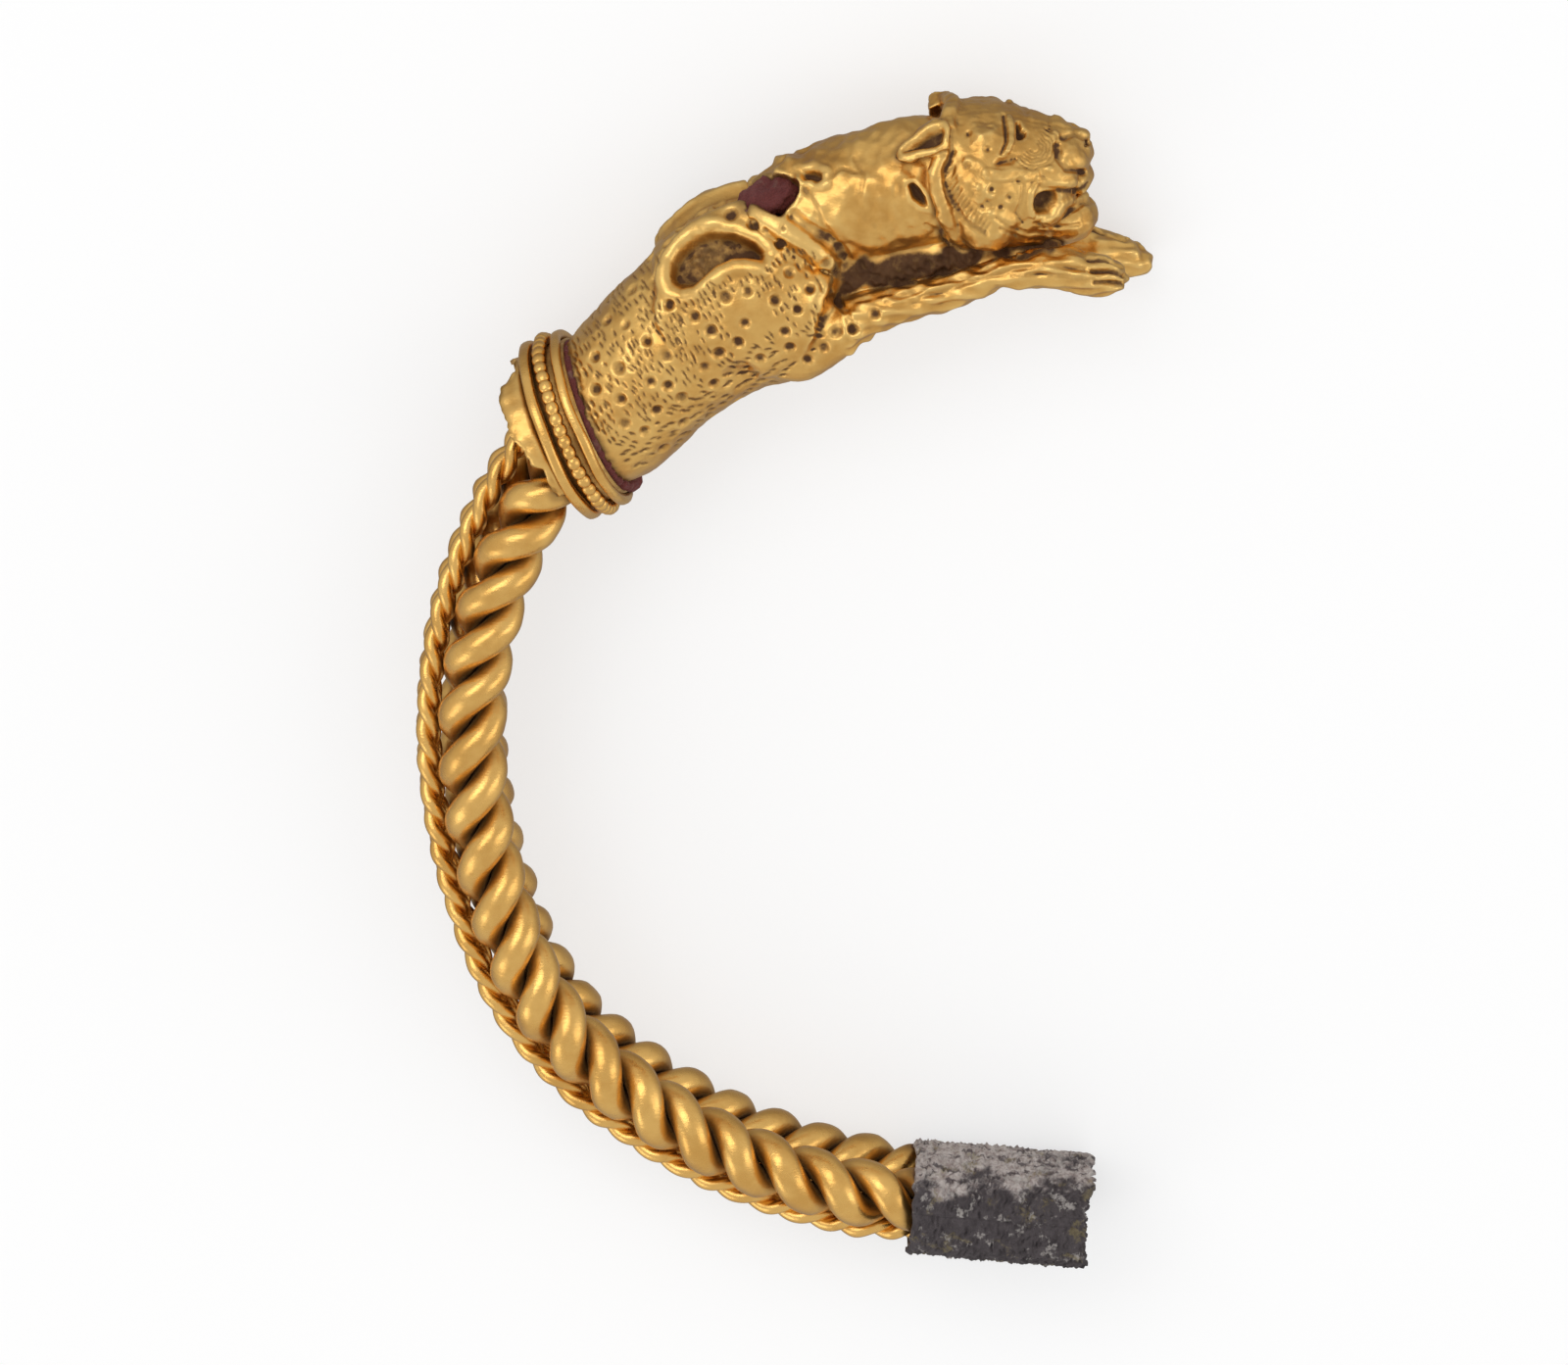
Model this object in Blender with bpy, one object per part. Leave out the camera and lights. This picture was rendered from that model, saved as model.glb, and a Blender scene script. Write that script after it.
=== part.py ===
"""The left half of a broken ancient bracelet: a gold feline's head, neck and forelegs, a wired collar,
a hoop of twisted gold wires and a rolled silver sleeve, lying on its side."""

import math

import bmesh
import bpy
import numpy as np
from mathutils import Matrix, Vector

# Lengths are in millimetres and angles in degrees, in the plane of the bracelet: X to the right,
# Y towards the animal's back, Z across the animal's width. The meshes are turned into metres last.
MILLIMETRE = 0.001

# The hoop's middle line is nearly an arc. It is pushed out of round at one place and drawn in at its end.
HOOP_CENTRE = (11.8, -2.6)
HOOP_RADIUS = 30.1
HOOP_START = 143.5
HOOP_END = 266.0
BULGE_HEIGHT = 0.8
BULGE_ANGLE = 216.0
BULGE_WIDTH = 15.0
DRAWN_IN = 0.6
DRAWN_IN_FROM = 232.0

# Two thick ropes lie one on the other, and two thin ones fill the groove on their outer side.
THICK_WIRE = 1.88
THICK_TWIST_RADIUS = 0.97
FRONT_LEAD_AT_COLLAR = 6.85
FRONT_LEAD_AT_SLEEVE = 6.2
FRONT_PHASE = 51.5
BACK_LEAD_AT_COLLAR = 5.8
BACK_LEAD_AT_SLEEVE = 5.8
BACK_PHASE = 99.0
THIN_ROPE = 1.4
THIN_LEAD = 3.5
THIN_WAIST = 0.62
WIRE_GAP = 0.1

# The collar is a short tube with three wires and a broken strip round it.
COLLAR_CENTRE = (-11.88, 16.39)
COLLAR_ANGLE = 26.0
COLLAR_BORE = 9.2
COLLAR_SHEET = 0.25
COLLAR_FRONT = 1.0
COLLAR_BACK = -1.7
FRONT_WIRE = 0.6
FRONT_WIRE_PLACE = 0.63
BEAD_SIZE = 0.84
BEAD_COUNT = 48
BEAD_PLACE = -0.33
BEAD_WAIST = 0.68
BACK_WIRE = 0.68
BACK_WIRE_PLACE = -1.3
STRIP_WIDTH = 1.0
STRIP_GAP = 0.08
STRIP_SPAN = 118.0
COLLAR_SEAT_GAP = 0.04

# The sleeve is rolled sheet, flattened so that it holds one rope on the other.
SLEEVE_LENGTH = 10.7
SLEEVE_WIDTH = 6.0
SLEEVE_HEIGHT = 8.7
SLEEVE_WALL = 0.3
SLEEVE_SQUARENESS = 2.6
SLEEVE_ANGLE = -5.1
SLEEVE_OFFSET = 0.57
SLEEVE_OVER_HOOP = 2.2
TORN_STEP = 0.45

# The forepart. Its masses are rows of (x, y, z, half height, half width) along a limb or the spine.
PLUG_GAP = 0.25
PLUG_DEPTH = 0.45
PLUG_DOME = 0.02
TRUNK = (
    (-9.8, 17.6, 0, 4.5, 4.5),
    (-7.15, 20.55, 0, 4.7, 4.8),
    (-4.15, 23.15, 0, 5.3, 4.9),
    (-1.65, 24.65, 0, 5.85, 4.8),
    (0.7, 26.1, 0, 5.15, 4.3),
    (2.6, 27.1, 0, 3.2, 2.8),
)
NECK = (
    (-0.3, 28.0, 0, 3.75, 3.3),
    (1.6, 29.15, 0, 3.85, 3.6),
    (4.5, 30.35, 0, 3.9, 3.8),
    (6.4, 30.95, 0, 3.95, 3.8),
    (8.9, 31.5, 0, 3.8, 3.7),
    (11.5, 31.8, 0, 3.4, 3.4),
)
NECK_DOME = 0.1
CHEST_WEB = (
    (1.5, 25.8, 0, 2.4, 3.1),
    (5.0, 26.5, 0, 2.3, 3.0),
    (9.0, 27.2, 0, 2.0, 2.8),
    (13.0, 27.8, 0, 1.5, 2.5),
    (16.0, 28.0, 0, 1.0, 2.2),
)
HEAD = (
    (9.3, 32.1, 0, 4.1, 3.9),
    (10.6, 32.0, 0, 4.4, 4.45),
    (12.2, 31.8, 0, 4.4, 4.6),
    (14.0, 31.5, 0, 4.1, 4.1),
    (15.6, 31.4, 0, 3.85, 3.4),
    (16.5, 31.25, 0, 3.4, 2.6),
)
NEAR_LEG = (
    (-0.6, 22.7, 2.8, 2.3, 1.5),
    (0.9, 22.6, 3.1, 2.5, 1.6),
    (2.6, 23.1, 3.3, 1.75, 1.6),
    (4.4, 24.2, 3.45, 1.4, 1.45),
    (6.2, 24.85, 3.5, 1.15, 1.25),
    (7.9, 25.3, 3.45, 1.05, 1.1),
    (9.8, 25.8, 3.4, 1.03, 1.05),
    (11.7, 26.55, 3.4, 0.9, 1.0),
    (12.6, 26.9, 3.4, 0.88, 1.0),
    (14.6, 27.1, 3.4, 1.15, 1.15),
    (16.0, 27.3, 3.4, 1.22, 1.3),
    (17.5, 26.95, 3.4, 1.25, 1.45),
    (18.9, 26.75, 3.4, 1.1, 1.4),
    (19.8, 26.6, 3.4, 0.6, 1.0),
)
FAR_PAW_REACH = 1.5
FAR_PAW_DROP = 1.55
FAR_DROP_FROM = 3.6
SHOULDER_PLACE = (-1.6, 24.4, 3.2)
SHOULDER_SIZE = (4.9, 4.0, 2.1)
SHOULDER_TURN = -12.0
CHEEK_PLACE = (11.9, 30.6, 2.9)
CHEEK_SIZE = (2.1, 2.4, 1.9)
HEAD_BACK_DOME = 0.1
HEAD_FRONT_DOME = 0.22
MUZZLE_PLACE = (16.4, 33.35, 0.0)
MUZZLE_SIZE = (1.7, 1.5, 2.5)
JAW_PLACE = (16.4, 29.3, 0.0)
JAW_SIZE = (1.95, 1.6, 2.3)
NOSE_PLACE = (17.0, 34.0, 0.0)
NOSE_SIZE = (0.95, 0.75, 1.15)
NOSTRIL_PLACE = (16.95, 33.4, 1.3)
NOSTRIL_SIZE = (0.85, 0.85, 0.85)
EYE_BULGE_PLACE = (15.5, 32.6, 1.9)
EYE_BULGE_SIZE = (1.7, 1.5, 1.5)
EAR_ROOT = (9.5, 34.6, 3.5)
EAR_TIP = (6.4, 34.7, 4.3)
EAR_CROWN = (9.2, 36.1, 3.0)
FAR_EAR_TIP = (8.3, 34.6, 3.6)
FAR_EAR_CROWN = (9.3, 35.6, 3.0)
EAR_LOBE = 0.6
EAR_BASE = 0.9
EAR_SHEET = 0.55

# Carving, placed in the side view that shows both the flank and the top of the head: that view is
# tilted, so its height is y cos(tilt) - |z| sin(tilt). Both sides carry the same carving.
VIEW_TILT = 21.0
CRESCENT_CENTRE = (-3.85, 23.7)
CRESCENT_RADII = (2.5, 2.05)
CRESCENT_ARC = (172.0, 30.0)
CRESCENT_WIDTH = 1.8
CRESCENT_DEPTH = 1.0
FOLD = ((-2.8, 28.4), (-1.0, 27.7), (0.8, 26.4), (2.3, 25.2), (3.1, 24.3), (2.9, 23.0), (2.3, 22.1))
FOLD_HEIGHT = 0.55
FOLD_REACH = 2.2
EDGE_SLOPE = 0.7
EDGE_SINK = 0.4
RUFF = ((9.2, 30.8), (8.7, 29.7), (8.9, 28.8), (9.4, 27.7), (10.0, 26.6), (10.7, 25.7), (12.0, 25.2))
RUFF_HEIGHT = 0.45
RUFF_REACH = 0.9
EYE = (12.5, 30.4)
EYE_SIZE = 1.0
EYE_DEPTH = 0.6
MOUTH = ((18.8, 29.2), (17.2, 29.0), (15.6, 28.4), (15.1, 27.7))
MOUTH_WIDTH = 1.2
MOUTH_DEPTH = 0.9

# The sheet is torn open on the back of the neck, and the filling shows in the hole.
TEAR_PLACE = (-0.9, 30.9, 1.1)
TEAR_SIZE = (2.0, 1.0, 1.6)
TEAR_TURN = 28.0
FILLING_GAP = 0.3

# How finely the solids are divided.
FOREPART_GRAIN = 0.28
FOREPART_TRIANGLES = 2900
LOFT_SIDES = 20
BALL_SEGMENTS = 14
THICK_SIDES = 5
THICK_STEPS = 7
THIN_STEPS = 6
ROUND_SEGMENTS = 24
WIRE_SIDES = 5
BEAD_SIDES = 4
SLEEVE_SEGMENTS = 28

GOLD = (0.62, 0.36, 0.08)
DEEP_GOLD = (0.52, 0.28, 0.06)
SILVER = (0.30, 0.28, 0.29)
RED_FILLING = (0.16, 0.03, 0.03)


def clear_scene():
    """Removes every object that is in the scene."""
    for thing in list(bpy.data.objects):
        bpy.data.objects.remove(thing, do_unlink=True)


def material(name, colour, roughness, metallic):
    """A plain surface with the piece's own colour."""
    made = bpy.data.materials.new(name)
    made.use_nodes = True
    surface = made.node_tree.nodes["Principled BSDF"]
    surface.inputs["Base Color"].default_value = (*colour, 1.0)
    surface.inputs["Roughness"].default_value = roughness
    surface.inputs["Metallic"].default_value = metallic
    return made


def mesh_from(name, points, faces):
    """A mesh whose faces all point outwards."""
    mesh = bpy.data.meshes.new(name)
    mesh.from_pydata([tuple(float(value) for value in point) for point in points], [], faces)
    shape = bmesh.new()
    shape.from_mesh(mesh)
    bmesh.ops.recalc_face_normals(shape, faces=shape.faces)
    shape.to_mesh(mesh)
    shape.free()
    return mesh


def bridge(rings, closed):
    """Faces between neighbouring rings of equal count. An open row of rings gets an end face each way."""
    count = len(rings[0])
    faces = []
    pairs = len(rings) if closed else len(rings) - 1
    for ring in range(pairs):
        here = ring * count
        there = (ring + 1) % len(rings) * count
        for corner in range(count):
            after = (corner + 1) % count
            faces.append((here + corner, here + after, there + after, there + corner))
    if not closed:
        faces.append(tuple(range(count)))
        faces.append(tuple(range((len(rings) - 1) * count, len(rings) * count)))
    return faces


def ringed(name, rings, closed=False):
    """A mesh bridged from rings of points."""
    return mesh_from(name, [point for ring in rings for point in ring], bridge(rings, closed))


def evaluated(mesh, steps):
    """The mesh after a row of modifiers, each given as its kind and its settings."""
    carrier = bpy.data.objects.new("carrier", mesh)
    bpy.context.scene.collection.objects.link(carrier)
    for kind, settings in steps:
        modifier = carrier.modifiers.new(kind.title(), kind)
        for setting, value in settings.items():
            setattr(modifier, setting, value)
    graph = bpy.context.evaluated_depsgraph_get()
    result = bpy.data.meshes.new_from_object(carrier.evaluated_get(graph))
    bpy.data.objects.remove(carrier, do_unlink=True)
    return result


def points_of(mesh):
    """The mesh's points and their normals, as two arrays."""
    count = len(mesh.vertices)
    places = np.empty(count * 3)
    mesh.vertices.foreach_get("co", places)
    normals = np.array([tuple(vertex.normal) for vertex in mesh.vertices])
    return places.reshape(count, 3), normals


def turned(vector, degrees):
    """A vector of the bracelet's plane turned to the left."""
    angle = math.radians(degrees)
    x, y = vector
    return (x * math.cos(angle) - y * math.sin(angle), x * math.sin(angle) + y * math.cos(angle))


def hoop_radius(angle):
    """The hoop's radius at an angle round its centre."""
    bulge = BULGE_HEIGHT * math.exp(-(((angle - BULGE_ANGLE) / BULGE_WIDTH) ** 2))
    share = min(1.0, max(0.0, (angle - DRAWN_IN_FROM) / (HOOP_END - DRAWN_IN_FROM)))
    return HOOP_RADIUS + bulge - DRAWN_IN * share * share * (3 - 2 * share)


def hoop_point(angle):
    """A point of the hoop's middle line."""
    turn = math.radians(angle)
    radius = hoop_radius(angle)
    return np.array((HOOP_CENTRE[0] + radius * math.cos(turn), HOOP_CENTRE[1] + radius * math.sin(turn), 0.0))


def hoop_stations(spacing):
    """Points at equal steps along the hoop, with the direction of travel and the outward direction."""
    fine = 600
    angles = np.linspace(HOOP_START, HOOP_END, fine)
    line = np.array([hoop_point(angle) for angle in angles])
    reach = np.concatenate(([0.0], np.cumsum(np.linalg.norm(np.diff(line, axis=0), axis=1))))
    count = max(2, round(reach[-1] / spacing) + 1)
    distances = np.linspace(0.0, reach[-1], count)
    stations = []
    for distance in distances:
        angle = np.interp(distance, reach, angles)
        step = 0.05
        travel = hoop_point(angle + step) - hoop_point(angle - step)
        travel /= np.linalg.norm(travel)
        outward = np.array((-travel[1], travel[0], 0.0)) * -1.0
        stations.append((distance, hoop_point(angle), travel, outward))
    return stations


def thick_rope_height():
    """How far each thick rope's axis is from the middle plane."""
    return THICK_TWIST_RADIUS + THICK_WIRE / 2 + WIRE_GAP / 2


def thin_rope_place():
    """Outward and sideways distance of a thin rope's axis, where it touches its twin and the thick rope."""
    aside = THIN_ROPE / 2 + WIRE_GAP / 4
    apart = THICK_TWIST_RADIUS + THICK_WIRE / 2 + THIN_ROPE / 2 + WIRE_GAP / 2
    return math.sqrt(apart**2 - (thick_rope_height() - aside) ** 2), aside


def helical_wire(name, height, hand, leads, phase):
    """One wire of a thick rope, wound round the rope's axis. A right-handed rope has a hand of one."""
    rings = []
    up = np.array((0.0, 0.0, 1.0))
    first = None
    stations = hoop_stations(leads[1] / THICK_STEPS)
    length = stations[-1][0]
    rates = [2 * math.pi / lead for lead in leads]
    for distance, middle, travel, outward in stations:
        rate = rates[0] + (rates[1] - rates[0]) * distance / length
        angle = math.radians(phase) - hand * (rates[0] + rate) / 2 * distance
        radial = math.cos(angle) * outward + math.sin(angle) * up
        around = math.sin(angle) * outward - math.cos(angle) * up
        along = travel + around * hand * rate * THICK_TWIST_RADIUS
        along /= np.linalg.norm(along)
        first = radial if first is None else first - along * (first @ along)
        first /= np.linalg.norm(first)
        across = np.cross(along, first)
        centre = middle + up * height + radial * THICK_TWIST_RADIUS
        ring = []
        for corner in range(THICK_SIDES):
            turn = 2 * math.pi * corner / THICK_SIDES
            ring.append(centre + (first * math.cos(turn) + across * math.sin(turn)) * THICK_WIRE / 2)
        rings.append(ring)
    return ringed(name, rings)


def twisted_pair(name, side, hand):
    """A thin rope, as a four-cornered section that turns as it goes, one corner for each wire's back."""
    outward_place, aside = thin_rope_place()
    rings = []
    up = np.array((0.0, 0.0, 1.0))
    long_half = THIN_ROPE / 2
    short_half = long_half * THIN_WAIST
    for distance, middle, travel, outward in hoop_stations(THIN_LEAD / THIN_STEPS):
        angle = -hand * 2 * math.pi * distance / THIN_LEAD
        first = math.cos(angle) * outward + math.sin(angle) * up
        second = np.cross(travel, first)
        centre = middle + outward * outward_place + up * side * aside
        corners = (first * long_half, second * short_half, -first * long_half, -second * short_half)
        rings.append([centre + corner for corner in corners])
    return ringed(name, rings)


def collar_point(along, radius, angle):
    """A point of the collar: along its axis, and round it from the outer side towards +Z."""
    forward = turned((1.0, 0.0), COLLAR_ANGLE)
    outer = turned((0.0, 1.0), COLLAR_ANGLE)
    reach = radius * math.cos(angle)
    return (
        COLLAR_CENTRE[0] + forward[0] * along + outer[0] * reach,
        COLLAR_CENTRE[1] + forward[1] * along + outer[1] * reach,
        radius * math.sin(angle),
    )


def collar_tube():
    """The short tube under the collar's wires."""
    inner = COLLAR_BORE / 2
    outer = inner + COLLAR_SHEET
    rings = []
    for step in range(ROUND_SEGMENTS):
        angle = 2 * math.pi * step / ROUND_SEGMENTS
        profile = ((COLLAR_BACK, inner), (COLLAR_BACK, outer), (COLLAR_FRONT, outer), (COLLAR_FRONT, inner))
        rings.append([collar_point(along, radius, angle) for along, radius in profile])
    return ringed("collar_tube", rings, closed=True)


def collar_wire(name, place, thickness, segments, sides, swell=None):
    """A wire bent round the collar tube. swell gives its thickness as a share at each segment."""
    seat = COLLAR_BORE / 2 + COLLAR_SHEET + COLLAR_SEAT_GAP
    rings = []
    for step in range(segments):
        angle = 2 * math.pi * step / segments
        half = thickness / 2 * (swell(step) if swell else 1.0)
        ring = []
        for corner in range(sides):
            turn = 2 * math.pi * (corner + 0.5) / sides
            radius = seat + thickness / 2 + half * math.cos(turn)
            ring.append(collar_point(place + half * math.sin(turn), radius, angle))
        rings.append(ring)
    return ringed(name, rings, closed=True)


def collar_strip():
    """The strip on the hoop's side of the collar, torn away where the ropes go in."""
    inner = COLLAR_BORE / 2
    outer = inner + COLLAR_SHEET * 1.2
    front = COLLAR_BACK - STRIP_GAP
    steps = ROUND_SEGMENTS - 4
    rings = []
    for step in range(steps + 1):
        angle = math.radians(STRIP_SPAN * (2 * step / steps - 1))
        frayed = 0.14 * math.sin(9.0 * angle) * STRIP_WIDTH
        back = front - STRIP_WIDTH + frayed
        profile = ((back, inner), (back, outer), (front, outer), (front, inner))
        rings.append([collar_point(along, radius, angle) for along, radius in profile])
    return ringed("collar_strip", rings)


def sleeve_start():
    """The middle of the sleeve's mouth, over the end of the hoop."""
    stations = hoop_stations(0.1)
    for distance, middle, travel, outward in reversed(stations):
        if stations[-1][0] - distance >= SLEEVE_OVER_HOOP:
            return middle + outward * SLEEVE_OFFSET
    return stations[0][1]


def superellipse(half_width, half_height, angle):
    """A point of a rounded box, as width and height."""
    power = 2.0 / SLEEVE_SQUARENESS
    across = abs(math.cos(angle)) ** power * math.copysign(half_width, math.cos(angle))
    upward = abs(math.sin(angle)) ** power * math.copysign(half_height, math.sin(angle))
    return across, upward


def sleeve():
    """The rolled silver sleeve, open at both ends, with a step torn in its free end."""
    forward = np.array((*turned((1.0, 0.0), SLEEVE_ANGLE), 0.0))
    across = np.array((*turned((0.0, 1.0), SLEEVE_ANGLE), 0.0))
    up = np.array((0.0, 0.0, 1.0))
    start = sleeve_start()
    rings = []
    for step in range(SLEEVE_SEGMENTS):
        angle = 2 * math.pi * step / SLEEVE_SEGMENTS
        torn = TORN_STEP if 0.15 * math.pi < angle < 0.6 * math.pi else 0.0
        ring = []
        for along, inset in (
            (0.0, SLEEVE_WALL),
            (0.0, 0.0),
            (SLEEVE_LENGTH - torn, 0.0),
            (SLEEVE_LENGTH - torn, SLEEVE_WALL),
        ):
            width, height = superellipse(SLEEVE_WIDTH / 2 - inset, SLEEVE_HEIGHT / 2 - inset, angle)
            ring.append(start + forward * along - across * width + up * height)
        rings.append(ring)
    return ringed("silver_sleeve", rings, closed=True)


def loft(stations, dome_back=0.45, dome_front=0.45, sides=LOFT_SIDES):
    """A limb or a trunk: oval rings along a row of stations, with domed ends."""
    places = np.array([station[:3] for station in stations], float)
    rings = []
    last = len(stations) - 1
    for index, (x, y, z, high, wide) in enumerate(stations):
        travel = places[min(index + 1, last)] - places[max(index - 1, 0)]
        travel /= np.linalg.norm(travel)
        upward = np.array((-travel[1], travel[0], 0.0))
        upward /= np.linalg.norm(upward)
        sideways = np.cross(travel, upward)
        ends = [(0.0, 1.0)]
        if index == 0:
            ends = [(-dome_back, 0.4), (-0.62 * dome_back, 0.8), (0.0, 1.0)]
        if index == last:
            ends = [(0.0, 1.0), (0.62 * dome_front, 0.8), (dome_front, 0.4)]
        for push, share in ends:
            centre = np.array((x, y, z)) + travel * push * min(high, wide)
            ring = []
            for corner in range(sides):
                angle = 2 * math.pi * corner / sides
                ring.append(
                    centre
                    + upward * high * share * math.cos(angle)
                    + sideways * wide * share * math.sin(angle)
                )
            rings.append(ring)
    return ringed("loft", rings)


def ball(place, size, turn=0.0):
    """An oval mass, turned in the bracelet's plane."""
    shape = bmesh.new()
    bmesh.ops.create_uvsphere(shape, u_segments=BALL_SEGMENTS, v_segments=BALL_SEGMENTS // 2, radius=1.0)
    matrix = Matrix.Translation(place) @ Matrix.Rotation(math.radians(turn), 4, "Z")
    bmesh.ops.transform(shape, matrix=matrix @ Matrix.Diagonal((*size, 1.0)), verts=shape.verts)
    mesh = bpy.data.meshes.new("ball")
    shape.to_mesh(mesh)
    shape.free()
    return mesh


def ear(side):
    """A leaf of an ear that points back along the neck. The far one has lost its tip."""
    places = (EAR_ROOT, EAR_TIP, EAR_CROWN) if side > 0 else (EAR_ROOT, FAR_EAR_TIP, FAR_EAR_CROWN)
    root, tip, crown = (Vector((x, y, side * z)) for x, y, z in places)
    low = root + (root - crown) * EAR_LOBE
    thickness = (tip - root).cross(crown - root).normalized() * EAR_SHEET / 2
    corners = (root + Vector((EAR_BASE, 0.0, 0.0)), crown, tip, low)
    points = [corner + thickness for corner in corners] + [corner - thickness for corner in corners]
    faces = [(0, 1, 2, 3), (7, 6, 5, 4)] + [
        (corner, corner + 4, (corner + 1) % 4 + 4, (corner + 1) % 4) for corner in range(4)
    ]
    return mesh_from("ear", points, faces)


def far_leg():
    """The other foreleg, which reaches farther and lies lower."""
    stations = []
    for x, y, z, high, wide in NEAR_LEG:
        share = max(0.0, (x - FAR_DROP_FROM) / (NEAR_LEG[-1][0] - FAR_DROP_FROM))
        stations.append((x + FAR_PAW_REACH * share, y - FAR_PAW_DROP * share, -z, high, wide))
    return stations


def plug():
    """The rear end of the body, which sits in the collar."""
    radius = COLLAR_BORE / 2 - PLUG_GAP
    stations = []
    for along in (COLLAR_FRONT - PLUG_DEPTH, COLLAR_FRONT, COLLAR_FRONT + PLUG_GAP):
        x, y, z = collar_point(along, 0.0, 0.0)
        stations.append((x, y, z, radius, radius))
    return tuple(stations)


def joined(meshes):
    """Several meshes as one."""
    shape = bmesh.new()
    for mesh in meshes:
        shape.from_mesh(mesh)
    whole = bpy.data.meshes.new("masses")
    shape.to_mesh(whole)
    shape.free()
    return whole


def side_view(places):
    """Each point as the tilted side view shows it, with both flanks laid on each other."""
    tilt = math.radians(VIEW_TILT)
    height = places[:, 1] * math.cos(tilt) - np.abs(places[:, 2]) * math.sin(tilt)
    return np.column_stack((places[:, 0], height))


def line_distance(view, line):
    """Distance of each point of the view to a line of straight stretches, and the side that it is on."""
    nearest = np.full(len(view), 1e9)
    sign = np.ones(len(view))
    for start, end in zip(line[:-1], line[1:]):
        start = np.array(start)
        run = np.array(end) - start
        share = np.clip(((view - start) @ run) / (run @ run), 0.0, 1.0)
        gap = view - start - share[:, None] * run
        length = np.linalg.norm(gap, axis=1)
        closer = length < nearest
        cross = run[0] * (view[:, 1] - start[1]) - run[1] * (view[:, 0] - start[0])
        nearest = np.where(closer, length, nearest)
        sign = np.where(closer, np.sign(cross), sign)
    return nearest, sign


def dish(distance, half_width):
    """One in the middle of a hollow and nothing at its rim."""
    share = np.clip(1.0 - (distance / half_width) ** 2, 0.0, 1.0)
    return share * (2.0 - share)


def step_edge(distance, side, reach, height):
    """A ledge along a line: high on the side above one, a little sunk on the other."""
    over = np.clip(0.5 + side * distance / EDGE_SLOPE, 0.0, 1.0)
    fade = np.clip(1.0 - distance / reach, 0.0, 1.0) ** 2
    return height * fade * (over - EDGE_SINK * (1.0 - over))


def crescent_line():
    """The middle line of the crescent on the shoulder."""
    angles = np.radians(np.linspace(CRESCENT_ARC[0], CRESCENT_ARC[1], 9))
    across = CRESCENT_CENTRE[0] + CRESCENT_RADII[0] * np.cos(angles)
    upward = CRESCENT_CENTRE[1] + CRESCENT_RADII[1] * np.sin(angles)
    return list(zip(across, upward))


def carve(places, normals):
    """Moves the forepart's points in and out: shoulder, ruff, eye, mouth and the tear."""
    view = side_view(places)
    lift = np.zeros(len(places))
    flank = np.clip((np.abs(places[:, 2]) - 0.8) / 1.2, 0.0, 1.0)

    distance, side = line_distance(view, crescent_line())
    lift -= CRESCENT_DEPTH * dish(distance, CRESCENT_WIDTH / 2) * flank

    distance, side = line_distance(view, FOLD)
    lift += step_edge(distance, -side, FOLD_REACH, FOLD_HEIGHT) * flank

    distance, side = line_distance(view, RUFF)
    lift += step_edge(distance, side, RUFF_REACH, RUFF_HEIGHT) * flank

    distance = np.linalg.norm(view - np.array(EYE), axis=1)
    lift -= EYE_DEPTH * dish(distance, EYE_SIZE) * flank

    distance, side = line_distance(view, MOUTH)
    lift -= MOUTH_DEPTH * dish(distance, MOUTH_WIDTH / 2)
    return places + normals * lift[:, None]


def forepart():
    """The feline's body, neck, head and forelegs as one solid."""
    masses = [
        loft(plug() + TRUNK, dome_back=PLUG_DOME),
        loft(NECK, dome_back=NECK_DOME),
        loft(CHEST_WEB),
        loft(HEAD, dome_back=HEAD_BACK_DOME, dome_front=HEAD_FRONT_DOME),
        loft(NEAR_LEG),
        loft(far_leg()),
    ]
    for side in (1, -1):
        for place, size, turn in (
            (SHOULDER_PLACE, SHOULDER_SIZE, SHOULDER_TURN),
            (CHEEK_PLACE, CHEEK_SIZE, 0.0),
            (EYE_BULGE_PLACE, EYE_BULGE_SIZE, 0.0),
            (NOSTRIL_PLACE, NOSTRIL_SIZE, 0.0),
        ):
            masses.append(ball((place[0], place[1], side * place[2]), size, turn))
        masses.append(ear(side))
    for place, size in ((MUZZLE_PLACE, MUZZLE_SIZE), (JAW_PLACE, JAW_SIZE), (NOSE_PLACE, NOSE_SIZE)):
        masses.append(ball(place, size))
    whole = evaluated(
        joined(masses),
        [
            ("REMESH", {"mode": "VOXEL", "voxel_size": FOREPART_GRAIN}),
            ("SMOOTH", {"factor": 0.5, "iterations": 3}),
        ],
    )
    places, normals = points_of(whole)
    whole.vertices.foreach_set("co", carve(places, normals).ravel())
    pocket = bpy.data.objects.new("tear_cutter", ball(TEAR_PLACE, TEAR_SIZE, TEAR_TURN))
    bpy.context.scene.collection.objects.link(pocket)
    faces = sum(len(face.vertices) - 2 for face in whole.polygons)
    result = evaluated(
        whole,
        [
            ("SMOOTH", {"factor": 0.5, "iterations": 1}),
            ("DECIMATE", {"ratio": FOREPART_TRIANGLES / faces}),
            ("BOOLEAN", {"object": pocket, "operation": "DIFFERENCE", "solver": "EXACT"}),
        ],
    )
    bpy.data.objects.remove(pocket, do_unlink=True)
    return result


def filling():
    """The lump of filling that shows in the tear, clear of the sheet all round."""
    size = [length - FILLING_GAP for length in TEAR_SIZE]
    return ball(TEAR_PLACE, size, TEAR_TURN)


def bead_swell(step):
    """A bead's full thickness, then the waist before the next bead."""
    return 1.0 if step % 2 == 0 else BEAD_WAIST


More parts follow.
